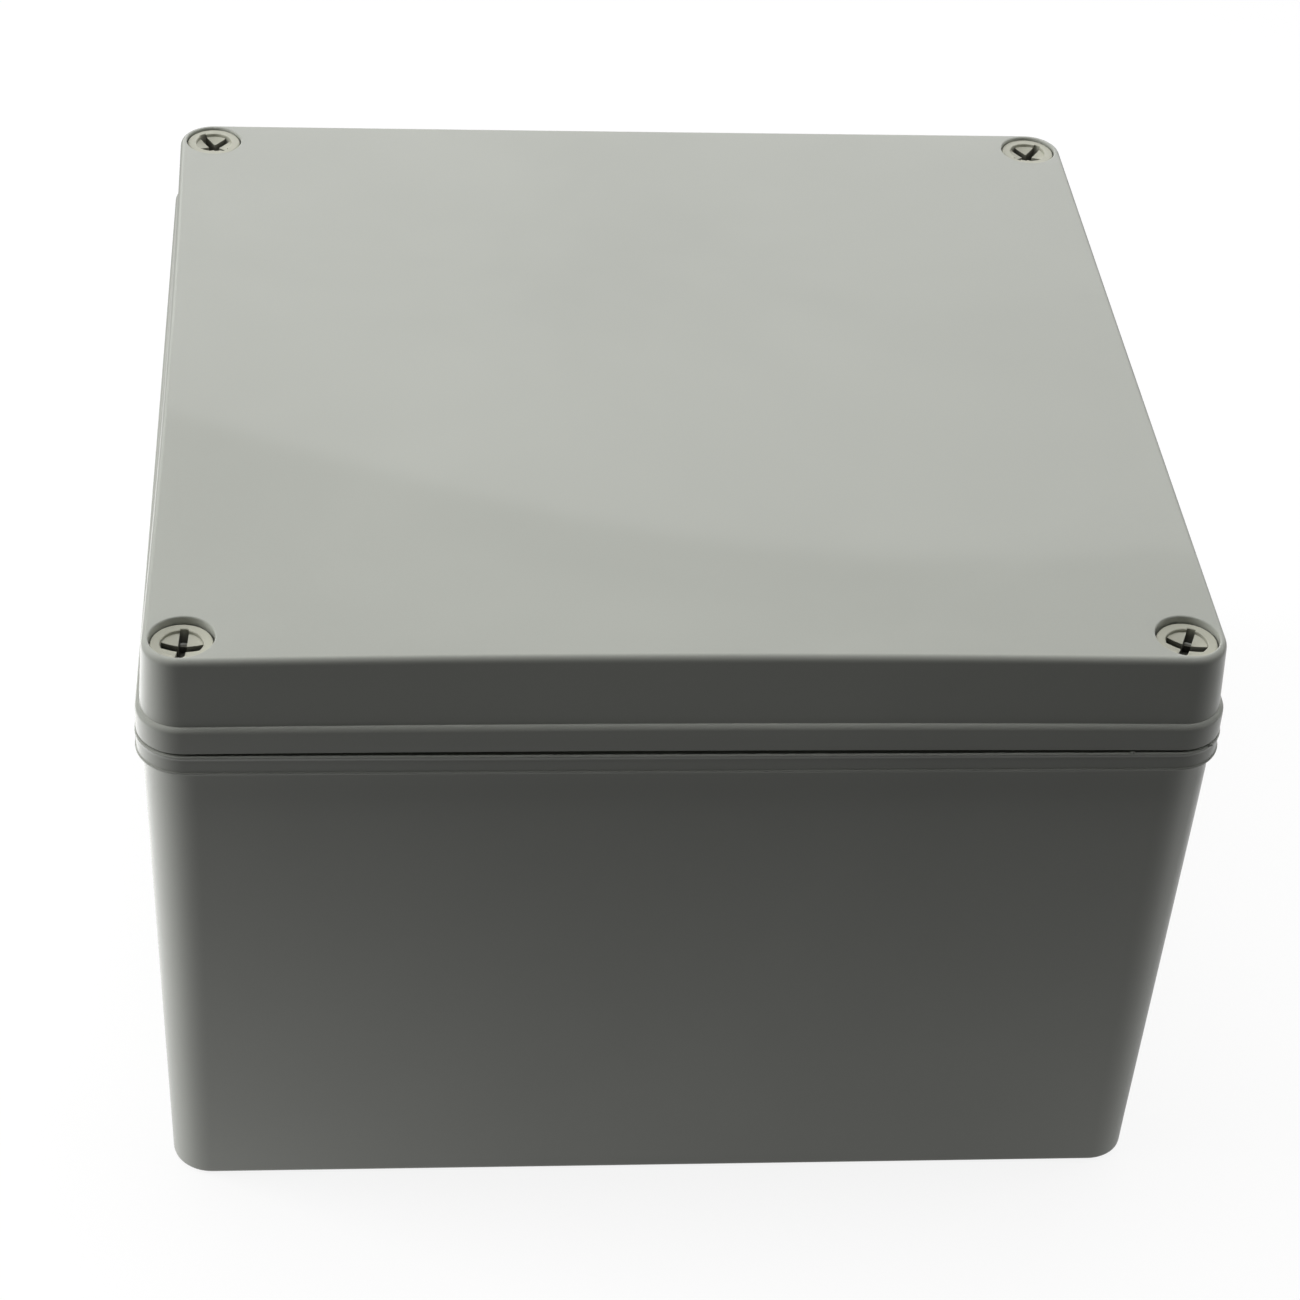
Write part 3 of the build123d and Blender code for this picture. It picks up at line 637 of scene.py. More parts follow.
def build_lid():
    shell = Shell()
    side, bottom, top = LID_HALF, LID_BOTTOM, LID_TOP
    # Outside, upwards from the rim band: (half width, z)
    profile = [(side - 0.25, bottom), (side - 0.14, bottom + 0.03), (side - 0.04, bottom + 0.11),
               (side, bottom + 0.26), (side, 112.2), (side, LID_SHOULDER)]
    profile += bend(side - 1.15, LID_SHOULDER, 1.15, 1.15, (12, 24, 36, 48, 57, 65))
    profile += [(98.95, LID_SHOULDER + 1.085), (98.905, LID_SHOULDER + 1.12),
                (98.885, LID_SHOULDER + 1.2)]
    (foot, foot_z), (head, head_z) = (98.88, 116.1), (98.22, 128.45)
    profile += [(foot + (head - foot) * i / 6, foot_z + (head_z - foot_z) * i / 6)
                for i in range(1, 7)]
    profile += bend(97.15, head_z, 1.06, top - head_z, (12, 24, 36, 48, 60, 70, 80, 90))
    rings = shell.sweep(lambda half: rounded_square(half, half - SCREW_XY, 28), profile)

    # Counterbores and screw holes, downwards: (radius, z)
    seat = COUNTERBORE_Z
    bore = [(6.22, top), (6.12, 129.975), (6.03, 129.91), (5.97, 129.81), (5.94, 129.68),
            (5.93, 129.5), (5.93, 127.8), (5.93, 125.9), (5.9, 125.7), (5.8, seat),
            (3.5, seat), (3.39, 125.56), (3.35, 125.45), (3.35, 122.9), (4.7, 122.9),
            (4.7, bottom + 0.35), (5.0, bottom)]
    bores = [shell.turned((sx * SCREW_XY, sy * SCREW_XY), bore, 56) for sx, sy in SIGNS]
    shell.region(rings[-1], [loops[0] for loops in bores],
                 extra=grid(90, 7.5, lambda x, y: not (abs(x) > 80 and abs(y) > 80)))

    # Gasket groove: (outwards from the seal line, z)
    outer = shell.sweep(seal, [(1.45, bottom), (1.25, bottom + 0.2), (1.25, 114.6)])
    inner = shell.sweep(seal, [(-1.25, 114.6), (-1.25, bottom + 0.2), (-1.45, bottom)])
    shell.region(outer[-1], [inner[0]])

    # Pockets in the corners: (inset, z)
    pockets = []
    for sx, sy in SIGNS:
        outline = mirrored(hollow(96.0, 25.35, 7.6), sx, sy)
        loops = shell.sweep(lambda distance: inset(outline, distance), [
            (-0.2, bottom), (0.0, bottom + 0.2), (0.0, 126.4), (0.25, 126.85), (0.6, 127.0)])
        shell.region(loops[-1])
        pockets.append(loops[0])
    shell.region(rings[0], [outer[0]] + pockets + [loops[-1] for loops in bores])

    # Inside of the lid: (outwards from the seal line, z)
    cavity = shell.sweep(seal, [(-2.35, bottom), (-2.55, bottom + 0.2), (-2.9, 125.5),
                                (-3.1, 126.25), (-3.6, 126.8), (-4.3, 127.0)])
    shell.region(inner[-1], [cavity[0]])
    shell.region(cavity[-1], extra=grid(84, 12.0, lambda x, y: abs(x) + abs(y) < 130))
    shell.mesh("lid_shell", BOX_PLASTIC, "lid", ["lid"],
               warp=lid_warp, sharp=42)


# =============================================================================
# Base
# =============================================================================
WALL_CORNER, RIM_CORNER = 88.5, 90.6    # corner centres of the walls and of the rim
WALL_TOP = 105.0
CAVITY_DRAFT = 0.02275                  # inward lean of the cavity walls per mm of depth


def wall_half(z):
    return 96.5 + 2.4 * z / 105.5


def base_warp(points):
    """The right-hand wall bellies out below the rim and draws in near the foot."""
    out = points.copy()
    x, z = points[:, 0], points[:, 2]
    near_wall = np.clip((x - 94.6) / 1.6, 0, 1)
    below_rim = np.clip((104.8 - z) / 2.5, 0, 1)
    out[:, 0] = x + 0.42 * near_wall * np.clip((z - 28.0) / 62.0, -0.35, 1.0) * below_rim
    return out


def base_outside(shell):
    # Each station is ((half width, corner radius), z), upwards
    wall = bend(95.5, 1.0, 1.02, 1.0, range(-90, 0, 15))
    wall += [(wall_half(z), z) for z in (1, 8, 20, 35, 50, 65, 80, 92, 100, 104.7)]
    profile = [((half, half - WALL_CORNER), z) for half, z in wall]
    half = wall_half(WALL_TOP)
    radius = half - WALL_CORNER
    profile += [((half + 0.03, radius), WALL_TOP), ((half + 0.12, radius - 0.1), 105.14),
                ((half + 0.28, radius - 0.3), 105.2)]
    rim = [(99.62, 105.2), (99.78, 105.23), (99.91, 105.3), (99.98, 105.4), (100.0, 105.52),
           (100.0, 105.65), (99.985, 105.71), (99.82, 105.83), (99.79, 105.9), (99.79, 106.3),
           (99.79, 107.4), (99.79, 108.4), (99.82, 108.64), (99.92, 108.84)]
    rim += bend(99.45, 108.95, 0.55, 0.55, (15, 30, 45, 60, 75, 90))
    profile += [((half, half - RIM_CORNER), z) for half, z in rim]
    return shell.sweep(lambda size: rounded_square(*size, 14), profile)


def base_corner(shell, sx, sy):
    """Pocket with a hole through its floor, and screw hole; returns their open loops."""
    outline = mirrored(hollow(93.9, 26.5, 5.0), sx, sy)
    pocket = shell.sweep(lambda distance: inset(outline, distance), [
        (-0.2, BASE_TOP), (-0.06, 109.44), (0.0, 109.3), (0.0, 60.0), (0.0, 5.4),
        (0.25, 4.75), (0.8, POCKET_FLOOR)])
    drain = shell.turned((sx * 83.5, sy * 83.5), [
        (2.75, POCKET_FLOOR), (2.6, 4.35), (2.6, 0.25), (2.8, 0.0)], 32)
    shell.region(pocket[-1], [drain[0]])
    screw_hole = shell.turned((sx * SCREW_XY, sy * SCREW_XY), [
        (3.4, BASE_TOP), (3.06, 109.2), (3.06, 97.6), (2.0, 97.0)], 32)
    shell.region(screw_hole[-1])
    return [pocket[0], screw_hole[0]], drain[-1]


def build_base():
    shell = Shell()
    rings = base_outside(shell)

    # Raised tongue that presses into the gasket: (distance from the seal line, z)
    tongue = [(0.95, BASE_TOP), (0.84, 109.54), (0.8, 109.66), (0.76, 111.2), (0.66, 111.4),
              (0.45, 111.5)]
    outer = shell.sweep(seal, tongue)
    inner = shell.sweep(seal, [(-distance, z) for distance, z in reversed(tongue)])
    shell.region(outer[-1], [inner[0]])

    top_holes, under_holes = [], []
    for sx, sy in SIGNS:
        top, under = base_corner(shell, sx, sy)
        top_holes += top
        under_holes.append(under)
    shell.region(rings[-1], [outer[0]] + top_holes)
    shell.region(rings[0], under_holes)

    # Cavity, downwards: (outwards from the seal line, z)
    def drafted(z):
        return -1.5 - CAVITY_DRAFT * (BASE_TOP - z)

    fillet_z, fillet = 5.2, 2.2
    profile = [(-1.25, BASE_TOP), (-1.43, 109.43), (-1.5, 109.25)]
    profile += [(drafted(z), z) for z in (95, 75, 55, 35, 15, fillet_z)]
    profile += bend(drafted(fillet_z) - fillet, fillet_z, fillet, -fillet, (20, 40, 60, 75, 90))
    cavity = shell.sweep(seal, profile)
    shell.region(inner[-1], [cavity[0]])
    bosses = []
    for centre in PLATE_FIXINGS:
        boss = shell.turned(centre, [
            (5.9, CAVITY_FLOOR), (5.3, 3.12), (4.95, 3.4), (4.8, 4.0), (4.75, 11.7),
            (4.5, BOSS_TOP), (3.02, BOSS_TOP), (3.02, 4.5)], 40)
        shell.region(boss[-1])
        bosses.append(boss[0])
    shell.region(cavity[-1], bosses)
    shell.mesh("base_shell", BOX_PLASTIC, "base", ["base"],
               warp=base_warp, sharp=42)


def build_flash():
    """Two little burrs on the front of the base's rim."""
    shell = Shell()
    # Centre x, y, z, then half sizes along x, y, z
    burrs = ((81.9, -99.62, 109.44, 0.55, 0.34, 0.30), (96.9, -97.55, 109.46, 0.42, 0.30, 0.26))
    for x, y, z, half_x, half_y, half_z in burrs:
        rings = []
        for i in range(1, 9):
            rise = -pi / 2 + pi * i / 9
            rings.append(shell.points([
                (x + half_x * cos(rise) * cos(a) * (1 + 0.18 * sin(3 * a + x)),
                 y + half_y * cos(rise) * sin(a) * (1 + 0.12 * cos(2 * a)),
                 z + half_z * sin(rise))
                for a in np.linspace(0, 2 * pi, 16, endpoint=False)]))
        shell.stack(rings)
        shell.fan(rings[0][::-1], shell.points([(x, y, z - half_z)])[0])
        shell.fan(rings[-1], shell.points([(x, y, z + half_z)])[0])
    shell.mesh("mould_flash", BOX_PLASTIC, "base", sharp=70, weighted=False)


# =============================================================================
# Lid screws
# =============================================================================
# Turn of the cross slot in degrees, and how far the head stands proud; the back pair is
# not driven home as far as the front pair
SCREW_SETTING = {
    "front_left": (-5.0, 0.0), "front_right": (-23.0, 0.05),
    "back_left": (38.0, 0.9), "back_right": (-42.0, 0.8),
}
SCREW_SINK = BOW * (SCREW_XY / BOW_REACH) ** 4      # the bowed lid takes the screws down with it
SCREW_HEAD = 3.0
SLOT_HALF, RECESS = 0.80, 3.85      # half width of the cross slot, radius of the round recess
SCREW_SIDES = 64


def screw_recess(shell, rim, centre, turn, top):
    """Round dished recess with a deep cross slot, whose arms just nick the head's ring."""
    place = placer(shell, centre, turn)
    half_angle = math.asin(SLOT_HALF / RECESS)
    arc_steps, arm_points = 14, 4
    outline = []
    for q in range(4):
        reach = 4.16 if q % 2 == 0 else 3.80
        start, end = q * pi / 2 + half_angle, (q + 1) * pi / 2 - half_angle
        outline += arc((0, 0), RECESS, start, end - start, arc_steps)
        outline += spin([(reach, -SLOT_HALF), (reach + 0.12, -SLOT_HALF / 2),
                         (reach + 0.12, SLOT_HALF / 2), (reach, SLOT_HALF)], (q + 1) * pi / 2)
    lip = place(inset(outline, -0.14), top)
    shell.region(rim, [lip])
    low = place(outline, top - 0.12)
    shell.bridge(lip, low)
    dish_z = top - 1.5

    def dish(x, y):
        return dish_z + 0.80 * (min(hypot(x, y), RECESS) / RECESS) ** 1.6

    edge = place(outline, dish)
    shell.bridge(low, edge)

    # Four dished quadrants, and the outline of the cross between them
    per_quadrant = arc_steps + 1 + arm_points
    along = np.linspace(RECESS * cos(half_angle), SLOT_HALF, 8)[1:-1]
    sides = [(x, SLOT_HALF) for x in along] + [(SLOT_HALF, SLOT_HALF)]
    sides += [(SLOT_HALF, x) for x in along[::-1]]
    stations = np.arange(1.0, 3.8, 0.40)
    inner = [(x, y) for x in stations for y in stations if hypot(x, y) < RECESS - 0.2]
    cross = []
    for q in range(4):
        first = q * per_quadrant
        cut = place(spin(sides, q * pi / 2), dish)
        extra = [(centre[0] + x, centre[1] + y)
                 for x, y in spin(spin(inner, q * pi / 2), turn)]
        shell.region(edge[first:first + arc_steps + 1] + cut[::-1], extra=extra,
                     dome=lambda x, y: dish(x - centre[0], y - centre[1]))
        cross += [edge[first]] + cut + edge[first + arc_steps:first + per_quadrant]

    def sunk(scale, z):
        return shell.points([(centre[0] + (shell.vertices[i][0] - centre[0]) * scale,
                              centre[1] + (shell.vertices[i][1] - centre[1]) * scale, z)
                             for i in cross])

    floor = sunk(0.80, top - 4.6)
    shell.stack([cross, sunk(0.97, dish_z - 0.6), sunk(0.92, dish_z - 1.6), floor])
    shell.region(floor)


def build_screw(corner):
    sx, sy = CORNERS[corner]
    degrees, proud = SCREW_SETTING[corner]
    turn = radians(degrees)
    centre = (sx * SCREW_XY, sy * SCREW_XY)
    seat = COUNTERBORE_Z - SCREW_SINK
    top = seat + SCREW_HEAD + proud
    shell = Shell()
    head = shell.turned(centre, [
        (5.30, top), (5.46, top - 0.03), (5.60, top - 0.12), (5.68, top - 0.28),
        (5.70, top - 0.5), (5.72, seat + 0.2), (5.6, seat)], SCREW_SIDES, turn)
    screw_recess(shell, head[0], centre, turn, top)
    # Shank and the neck that holds the ring
    shank = shell.turned(centre, [
        (3.15, seat), (3.0, seat - 0.15), (3.0, 112.7), (2.9, 112.48), (2.4, 112.48),
        (2.4, 110.62), (2.9, 110.62), (2.95, 110.4), (2.95, 109.9), (2.62, 109.5)],
        SCREW_SIDES, turn, after=head[-1])
    thread = shell.thread(centre, shank[-1], z_from=109.5, z_to=100.6, rows=72, n=SCREW_SIDES,
                          pitch=2.5, root=2.52, depth=0.45, flank=0.26, gain=1.35, turn=turn,
                          fades=(5.0, 6.0))
    tip = shell.turned(centre, [(2.4, 100.35), (2.0, 100.1), (1.4, 100.0)],
                       SCREW_SIDES, turn, after=thread)
    shell.region(tip[-1])
    shell.mesh("screw_" + corner, SCREW_FRONT if sy < 0 else SCREW_BACK, "screw_" + corner,
               ["lid_screw_" + corner], sharp=35)


# =============================================================================
# Seals
# =============================================================================
def build_gasket():
    shell = Shell()
    # Section: (outwards from the seal line, z)
    shell.sweep(seal, [
        (-1.1, 113.9), (-1.1, 112.2), (-1.02, 111.8), (-0.8, 111.58), (-0.45, 111.53),
        (0.0, 111.55), (0.45, 111.53), (0.8, 111.58), (1.02, 111.8), (1.1, 112.2),
        (1.1, 113.9), (1.0, 114.3), (0.7, 114.52), (0.0, 114.58), (-0.7, 114.52),
        (-1.0, 114.3)], closed=True)
    shell.mesh("gasket_strip", GASKET_RUBBER, "lid", ["lid_gasket"],
               sharp=60, weighted=False)


def build_ring(corner):
    """Ring in the screw's neck, with a squarish oval section."""
    sx, sy = CORNERS[corner]
    radius, middle_z, half_wide, half_high, power = 3.54, 111.55, 1.07, 0.84, 0.72

    def squared(value):
        return math.copysign(abs(value) ** power, value)

    angles = [2 * pi * i / 20 for i in range(20)]
    shell = Shell()
    shell.turned((sx * SCREW_XY, sy * SCREW_XY), [
        (radius + half_wide * squared(cos(a)), middle_z + half_high * squared(sin(a)))
        for a in angles], 44, closed=True)
    shell.mesh("ring_" + corner, RING_PLASTIC, "ring_" + corner,
               ["screw_ring_" + corner], sharp=60, weighted=False)


# =============================================================================
# Plate, its fixings and the earth stud
# =============================================================================
def pan_head(shell, centre, seat, tip, turn):
    """Cross-recessed pan-head machine screw standing on seat."""
    sides, shank, head, pitch = 40, 1.95, 3.9, 0.7
    top = seat + 2.6
    place = placer(shell, centre, turn)

    def crown(radius):
        return top - 0.42 * (radius / head) ** 2.2

    half_slot, reach, core = 0.42, 2.05, 0.62
    arm = [(core, -half_slot), (reach, -half_slot * 0.85), (reach, half_slot * 0.85),
           (core, half_slot), (core * 0.80, core * 0.80)]
    cross = [point for q in range(4) for point in spin(arm, q * pi / 2)]
    rim = place(cross, lambda x, y: crown(hypot(x, y)))
    ring = shell.loop(circle(centre, 2.35, sides, turn), crown(2.35))
    shell.region(ring, [rim])
    middle = place([(x * 0.93, y * 0.93) for x, y in cross], top - 0.55)
    low = place([(x * 0.52, y * 0.52) for x, y in cross], top - 1.55)
    shell.stack([rim, middle, low])
    shell.fan(low, shell.points([(*centre, top - 1.75)])[0])

    thread_top, thread_end = seat - 1.6, tip + 0.5
    body = shell.turned(centre, [
        (2.9, crown(2.9)), (3.3, crown(3.3) - 0.02), (3.6, top - 0.62), (3.8, top - 1.0),
        (3.88, top - 1.45), (head, seat + 0.35), (3.84, seat + 0.1), (3.7, seat),
        (shank + 0.1, seat), (shank, seat - 0.1), (shank, thread_top)],
        sides, turn, after=ring)
    thread = shell.thread(centre, body[-1], thread_top, thread_end, n=sides, pitch=pitch,
                          rows=round((thread_top - thread_end) / pitch * 9),
                          root=shank - 0.36, depth=0.35)
    end = shell.turned(centre, [(shank - 0.5, tip + 0.15), (shank - 0.75, tip)],
                       sides, turn, after=thread)
    shell.region(end[-1])


def build_plate_screws():
    shell = Shell()
    for i, centre in enumerate(PLATE_FIXINGS):
        pan_head(shell, centre, seat=PLATE_TOP, tip=5.5, turn=0.35 + 1.1 * i)
    shell.mesh("plate_screw_set", SCREW_ZINC, "base", ["plate_screws"])


def build_rail_screws():
    shell = Shell()
    for i, centre in enumerate(RAIL_FIXINGS):
        pan_head(shell, centre, seat=PLATE_TOP + RAIL_SHEET, tip=7.0, turn=0.2 + 0.9 * i)
    shell.mesh("rail_screw_set", SCREW_ZINC, "base", ["rail_screws"])


def build_inserts():
    """Knurled brass inserts in the bosses."""
    # Radius, z, depth of the knurling
    profile = [(2.15, 12.0, 0), (2.85, 12.0, 0), (2.99, 11.85, 0), (2.99, 11.3, 0.12),
               (2.99, 9.2, 0.12), (2.7, 9.0, 0), (2.7, 8.0, 0), (2.99, 7.8, 0.12),
               (2.99, 5.0, 0.12), (2.9, 4.6, 0), (2.8, 4.5, 0), (2.1, 4.5, 0),
               (2.0, 4.65, 0), (2.0, 11.85, 0)]
    shell = Shell()
    for x, y in PLATE_FIXINGS:
        def knurled(size):
            radii = [size[0] - (size[1] if k % 2 else 0) for k in range(60)]
            return [(x + r * cos(2 * pi * k / 60), y + r * sin(2 * pi * k / 60))
                    for k, r in enumerate(radii)]
        shell.sweep(knurled, [((radius, cut), z) for radius, z, cut in profile], closed=True)
    shell.mesh("plate_insert_set", BRASS, "base", ["plate_inserts"], sharp=35)


def build_plate():
    """Square sheet with its corners cut off."""
    shell = Shell()
    half = 84.0
    short = half - 22.0
    quarter = [(half, -short), (half, short)]
    corners = [point for k in range(4) for point in spin(quarter, k * pi / 2)]
    outline = round_poly(corners, 3.0, n=6, steps=14)
    low, high = PLATE_BOTTOM, PLATE_TOP
    loops = shell.sweep(lambda distance: inset(outline, distance), [
        (0.16, low), (0.04, low + 0.05), (0.0, low + 0.16),
        (0.0, high - 0.16), (0.04, high - 0.05), (0.16, high)])
    holes = [(x, y, 2.2) for x, y in PLATE_FIXINGS] + [(x, y, 2.0) for x, y in RAIL_FIXINGS]
    holes.append((*STUD, 3.0))
    bored = [shell.turned((x, y), [(r + 0.12, low), (r, low + 0.12), (r, high - 0.12),
                                   (r + 0.12, high)], 28) for x, y, r in holes]

    def clear(x, y):
        return abs(x) + abs(y) < 138 and all(
            (x - hole_x) ** 2 + (y - hole_y) ** 2 > 25 for hole_x, hole_y, _ in holes)

    shell.region(loops[-1], [hole[-1] for hole in bored], extra=grid(78, 13.0, clear))
    shell.region(loops[0], [hole[0] for hole in bored])
    shell.mesh("plate_sheet", PLATE_ZINC, "base", ["mounting_plate"],
               sharp=40)


def build_stud():
    shell = Shell()
    sides, thread_start, thread_end = 40, 13.6, 29.2
    head = shell.turned(STUD, [
        (4.4, 10.2), (4.85, 10.32), (5.0, 10.6), (5.0, 11.85), (4.9, PLATE_BOTTOM),
        (2.95, PLATE_BOTTOM), (2.95, thread_start)], sides)
    shell.region(head[0])
    thread = shell.thread(STUD, head[-1], thread_start, thread_end, n=sides, pitch=1.0,
                          rows=round((thread_end - thread_start) * 12), root=2.48, depth=0.46)
    tip = shell.turned(STUD, [(2.3, 29.6), (1.9, 30.0)], sides, after=thread)
    shell.region(tip[-1])
    shell.mesh("earth_stud_threaded", BRASS, "base", ["earth_stud"], sharp=40)


def build_washer():
    shell = Shell()
    shell.turned(STUD, [
        (3.1, 13.62), (3.25, PLATE_TOP), (6.0, PLATE_TOP), (6.16, 13.6), (6.2, 13.8),
        (6.2, 14.6), (6.16, 14.78), (6.0, 14.9), (3.25, 14.9), (3.1, 14.78)], 48, closed=True)
    shell.mesh("earth_washer_flat", SCREW_ZINC, "base", ["earth_washer"],
               sharp=40)


def build_nut():
    """Hexagon nut, its corners turned off to a radius at top and bottom."""
    half_flats, sides = 5.0, 72

    def hexagon(limit):
        out = []
        for k in range(sides):
            angle = 2 * pi * k / sides
            radius = min(half_flats / cos(angle % (pi / 3) - pi / 6), limit)
            out.append((STUD[0] + radius * cos(angle + pi / 6),
                        STUD[1] + radius * sin(angle + pi / 6)))
        return out

    def ring(radius):
        return circle(STUD, radius, sides, pi / 6)

    shell = Shell()
    stations = [(ring(3.35), 14.9)]
    stations += [(hexagon(limit), z) for limit, z in (
        (5.0, 14.9), (5.25, 15.05), (5.6, 15.3), (6.0, 15.6),
        (6.0, 19.2), (5.6, 19.5), (5.25, 19.75), (5.0, 19.9))]
    stations += [(ring(3.35), 19.9), (ring(3.0), 19.6), (ring(3.0), 15.2)]
    shell.sweep(list, stations, closed=True)
    shell.mesh("earth_nut_hex", BRASS, "base", ["earth_nut"], sharp=30)


# =============================================================================
# Rail
# =============================================================================
def build_rail():
    shell = Shell()
    sheet, low, high = RAIL_SHEET, PLATE_TOP, RAIL_TOP
    channel, flange = 13.5, 17.5        # half widths
    # Top-hat section: (y, z, corner radius)
    outline = round_poly([
        (-channel, low, 1.2), (channel, low, 1.2), (channel, high - sheet, 0.3),
        (flange, high - sheet, 0.25), (flange, high, 0.25), (channel - sheet, high, 1.2),
        (channel - sheet, low + sheet, 0.3), (-channel + sheet, low + sheet, 0.3),
        (-channel + sheet, high, 1.2), (-flange, high, 0.25), (-flange, high - sheet, 0.25),
        (-channel, high - sheet, 0.3)])
    half_length, bevel = 70.0, 0.15
    loops = [shell.loop_yz(inset(outline, distance), x) for distance, x in (
        (bevel, -half_length), (0.0, -half_length + bevel), (0.0, half_length - bevel),
        (bevel, half_length))]
    flats = [level_edge(outline, low), level_edge(outline, low + sheet)]
    shell.bridge(loops[0], loops[1])
    shell.bridge(loops[1], loops[2], skip=flats)
    shell.bridge(loops[2], loops[3])

    pitch, half_slot, radius = 25.0, 7.5, 2.7
    slots = []
    for k in range(-2, 3):
        def slot(rounding):
            reach = half_slot - radius
            return (arc((pitch * k + reach, 0.0), rounding, -pi / 2, pi, 10)
                    + arc((pitch * k - reach, 0.0), rounding, pi / 2, pi, 10))
        slots.append(shell.sweep(slot, [
            (radius + 0.1, low), (radius, low + 0.1), (radius, low + sheet - 0.1),
            (radius + 0.1, low + sheet)]))
    for i, holes in zip(flats, ([s[0] for s in slots], [s[-1] for s in slots])):
        j = (i + 1) % len(outline)
        shell.region([loops[1][i], loops[1][j], loops[2][j], loops[2][i]], holes)
    shell.region(loops[0], axes=YZ)
    shell.region(loops[-1], axes=YZ)
    shell.mesh("rail_top_hat", RAIL_ZINC, "base", ["din_rail"], sharp=35)


# =============================================================================
# Terminals
# =============================================================================
TERMINAL_WIDTH, TERMINAL_WALL, TERMINAL_TOP = 8.2, 1.3, 62.0
CHAMBER_TOP = 56.5
ENTRY_Y, RELEASE_Y = 10.6, 4.4      # wire entries and release slots, either side of the middle
TERMINALS = [
    ("line_1", GREY, "terminal_grey"), ("line_2", GREY, "terminal_grey"),
    ("line_3", GREY, "terminal_grey"), ("neutral", BLUE, "terminal_blue"),
    ("earth", GREEN, "terminal_green"),
]
ROW_HALF = len(TERMINALS) / 2 * TERMINAL_WIDTH
# +Y half of the housing from its top down to the foot hooked on the rail: (y, z, radius)
HOUSING_HALF = [
    (15.5, TERMINAL_TOP, 0.0), (25.0, 43.0, 2.0), (25.0, 24.0, 1.2), (20.5, 17.0, 0.8),
    (16.0, 17.0, 0.4), (16.0, 19.9, 0.2), (17.7, 19.9, 0.3), (17.7, RAIL_TOP, 0.2),
]
HOUSING = [(-y, z, r) for y, z, r in HOUSING_HALF] + HOUSING_HALF[::-1]


def terminal_left(i):
    return (i - len(TERMINALS) / 2) * TERMINAL_WIDTH


def chamber_middle(i):
    return terminal_left(i) + TERMINAL_WALL + (TERMINAL_WIDTH - TERMINAL_WALL) / 2


def build_housing(i, name, material):
    shell = Shell()
    middle, top = chamber_middle(i), TERMINAL_TOP
    left, right = terminal_left(i) + 0.03, terminal_left(i) + TERMINAL_WIDTH - 0.03
    outline = round_poly(HOUSING)
    last = len(outline) - 1             # the edge along the top face
    loops = bevelled(shell, outline, left, right, 0.14)
    for k, (first, second) in enumerate(zip(loops, loops[1:])):
        shell.bridge(first, second, skip=(last,) if k == 2 else ())
    shell.region(loops[0], axes=YZ)

    # Chamber open on the right-hand side: (y, z, corner radius)
    chamber = round_poly([
        (-16.5, 44.0, 0.4), (16.5, 44.0, 0.4), (16.5, 50.0, 0.8), (12.5, CHAMBER_TOP, 0.0),
        (-12.5, CHAMBER_TOP, 0.0), (-16.5, 50.0, 0.8)], n=4)
    ceiling = level_edge(chamber, CHAMBER_TOP)
    mouth = shell.loop_yz(chamber, right)
    back = shell.loop_yz(chamber, terminal_left(i) + TERMINAL_WALL)
    shell.bridge(mouth, back, skip=(ceiling,))
    shell.region(back, axes=YZ)
    shell.region(loops[-1], [mouth], axes=YZ)

    # Wire entries and release slots, from the top face down to the chamber
    holes = []
    for side in (-1, 1):
        holes.append(shell.turned((middle, side * ENTRY_Y), [
            (2.75, top), (2.62, top - 0.1), (2.45, top - 0.5), (1.85, top - 3.2),
            (1.8, top - 3.6), (1.8, CHAMBER_TOP)], 28))
        centre = (middle, side * RELEASE_Y)
        holes.append(shell.sweep(
            lambda grow: rectangle(centre, 1.5 + grow, 1.2 + grow, 0.3),
            [(0.12, top), (0.0, top - 0.12), (0.0, CHAMBER_TOP)]))
    shell.region([loops[2][last], loops[2][0], loops[3][0], loops[3][last]],
                 [hole[0] for hole in holes])
    after = (ceiling + 1) % len(chamber)
    shell.region([mouth[ceiling], mouth[after], back[after], back[ceiling]],
                 [hole[-1] for hole in holes])
    shell.mesh("housing_" + name, material, "base", ["terminal_" + name], sharp=34)


def build_release(i, name):
    """Orange buttons in the release slots."""
    shell = Shell()
    top = TERMINAL_TOP
    for side in (-1, 1):
        centre = (chamber_middle(i), side * RELEASE_Y)
        loops = shell.sweep(
            lambda shrink: rectangle(centre, 1.38 - shrink, 1.08 - shrink, 0.25),
            [(0.0, 56.6), (0.0, top - 0.75), (0.06, top - 0.62), (0.2, top - 0.55),
             (0.45, top - 0.6), (0.6, top - 0.9)])
        shell.region(loops[0])
        shell.region(loops[-1])
    shell.mesh("release_" + name, ORANGE, "base", sharp=34)


def build_tags(i, name):
    """Blank marking tags on both sloping shoulders."""
    shell = Shell()
    top, shoulder = (np.array(corner[:2]) for corner in HOUSING_HALF[:2])
    along = (top - shoulder) / np.hypot(*(top - shoulder))
    outwards = np.array([along[1], -along[0]])
    base = shoulder + along * 9.0
    corners = [base + along * s + outwards * h
               for s, h in ((-3.2, -0.6), (3.2, -0.6), (3.2, 0.35), (-3.2, 0.35))]
    for side in (-1, 1):
        tag = [(side * y, z) for y, z in corners][::side]
        middle = chamber_middle(i)
        prism(shell, round_poly(tag, 0.15, n=3), middle - 2.9, middle + 1.9, 0.12)
    shell.mesh("tag_" + name, TAG_WHITE, "base", sharp=34)


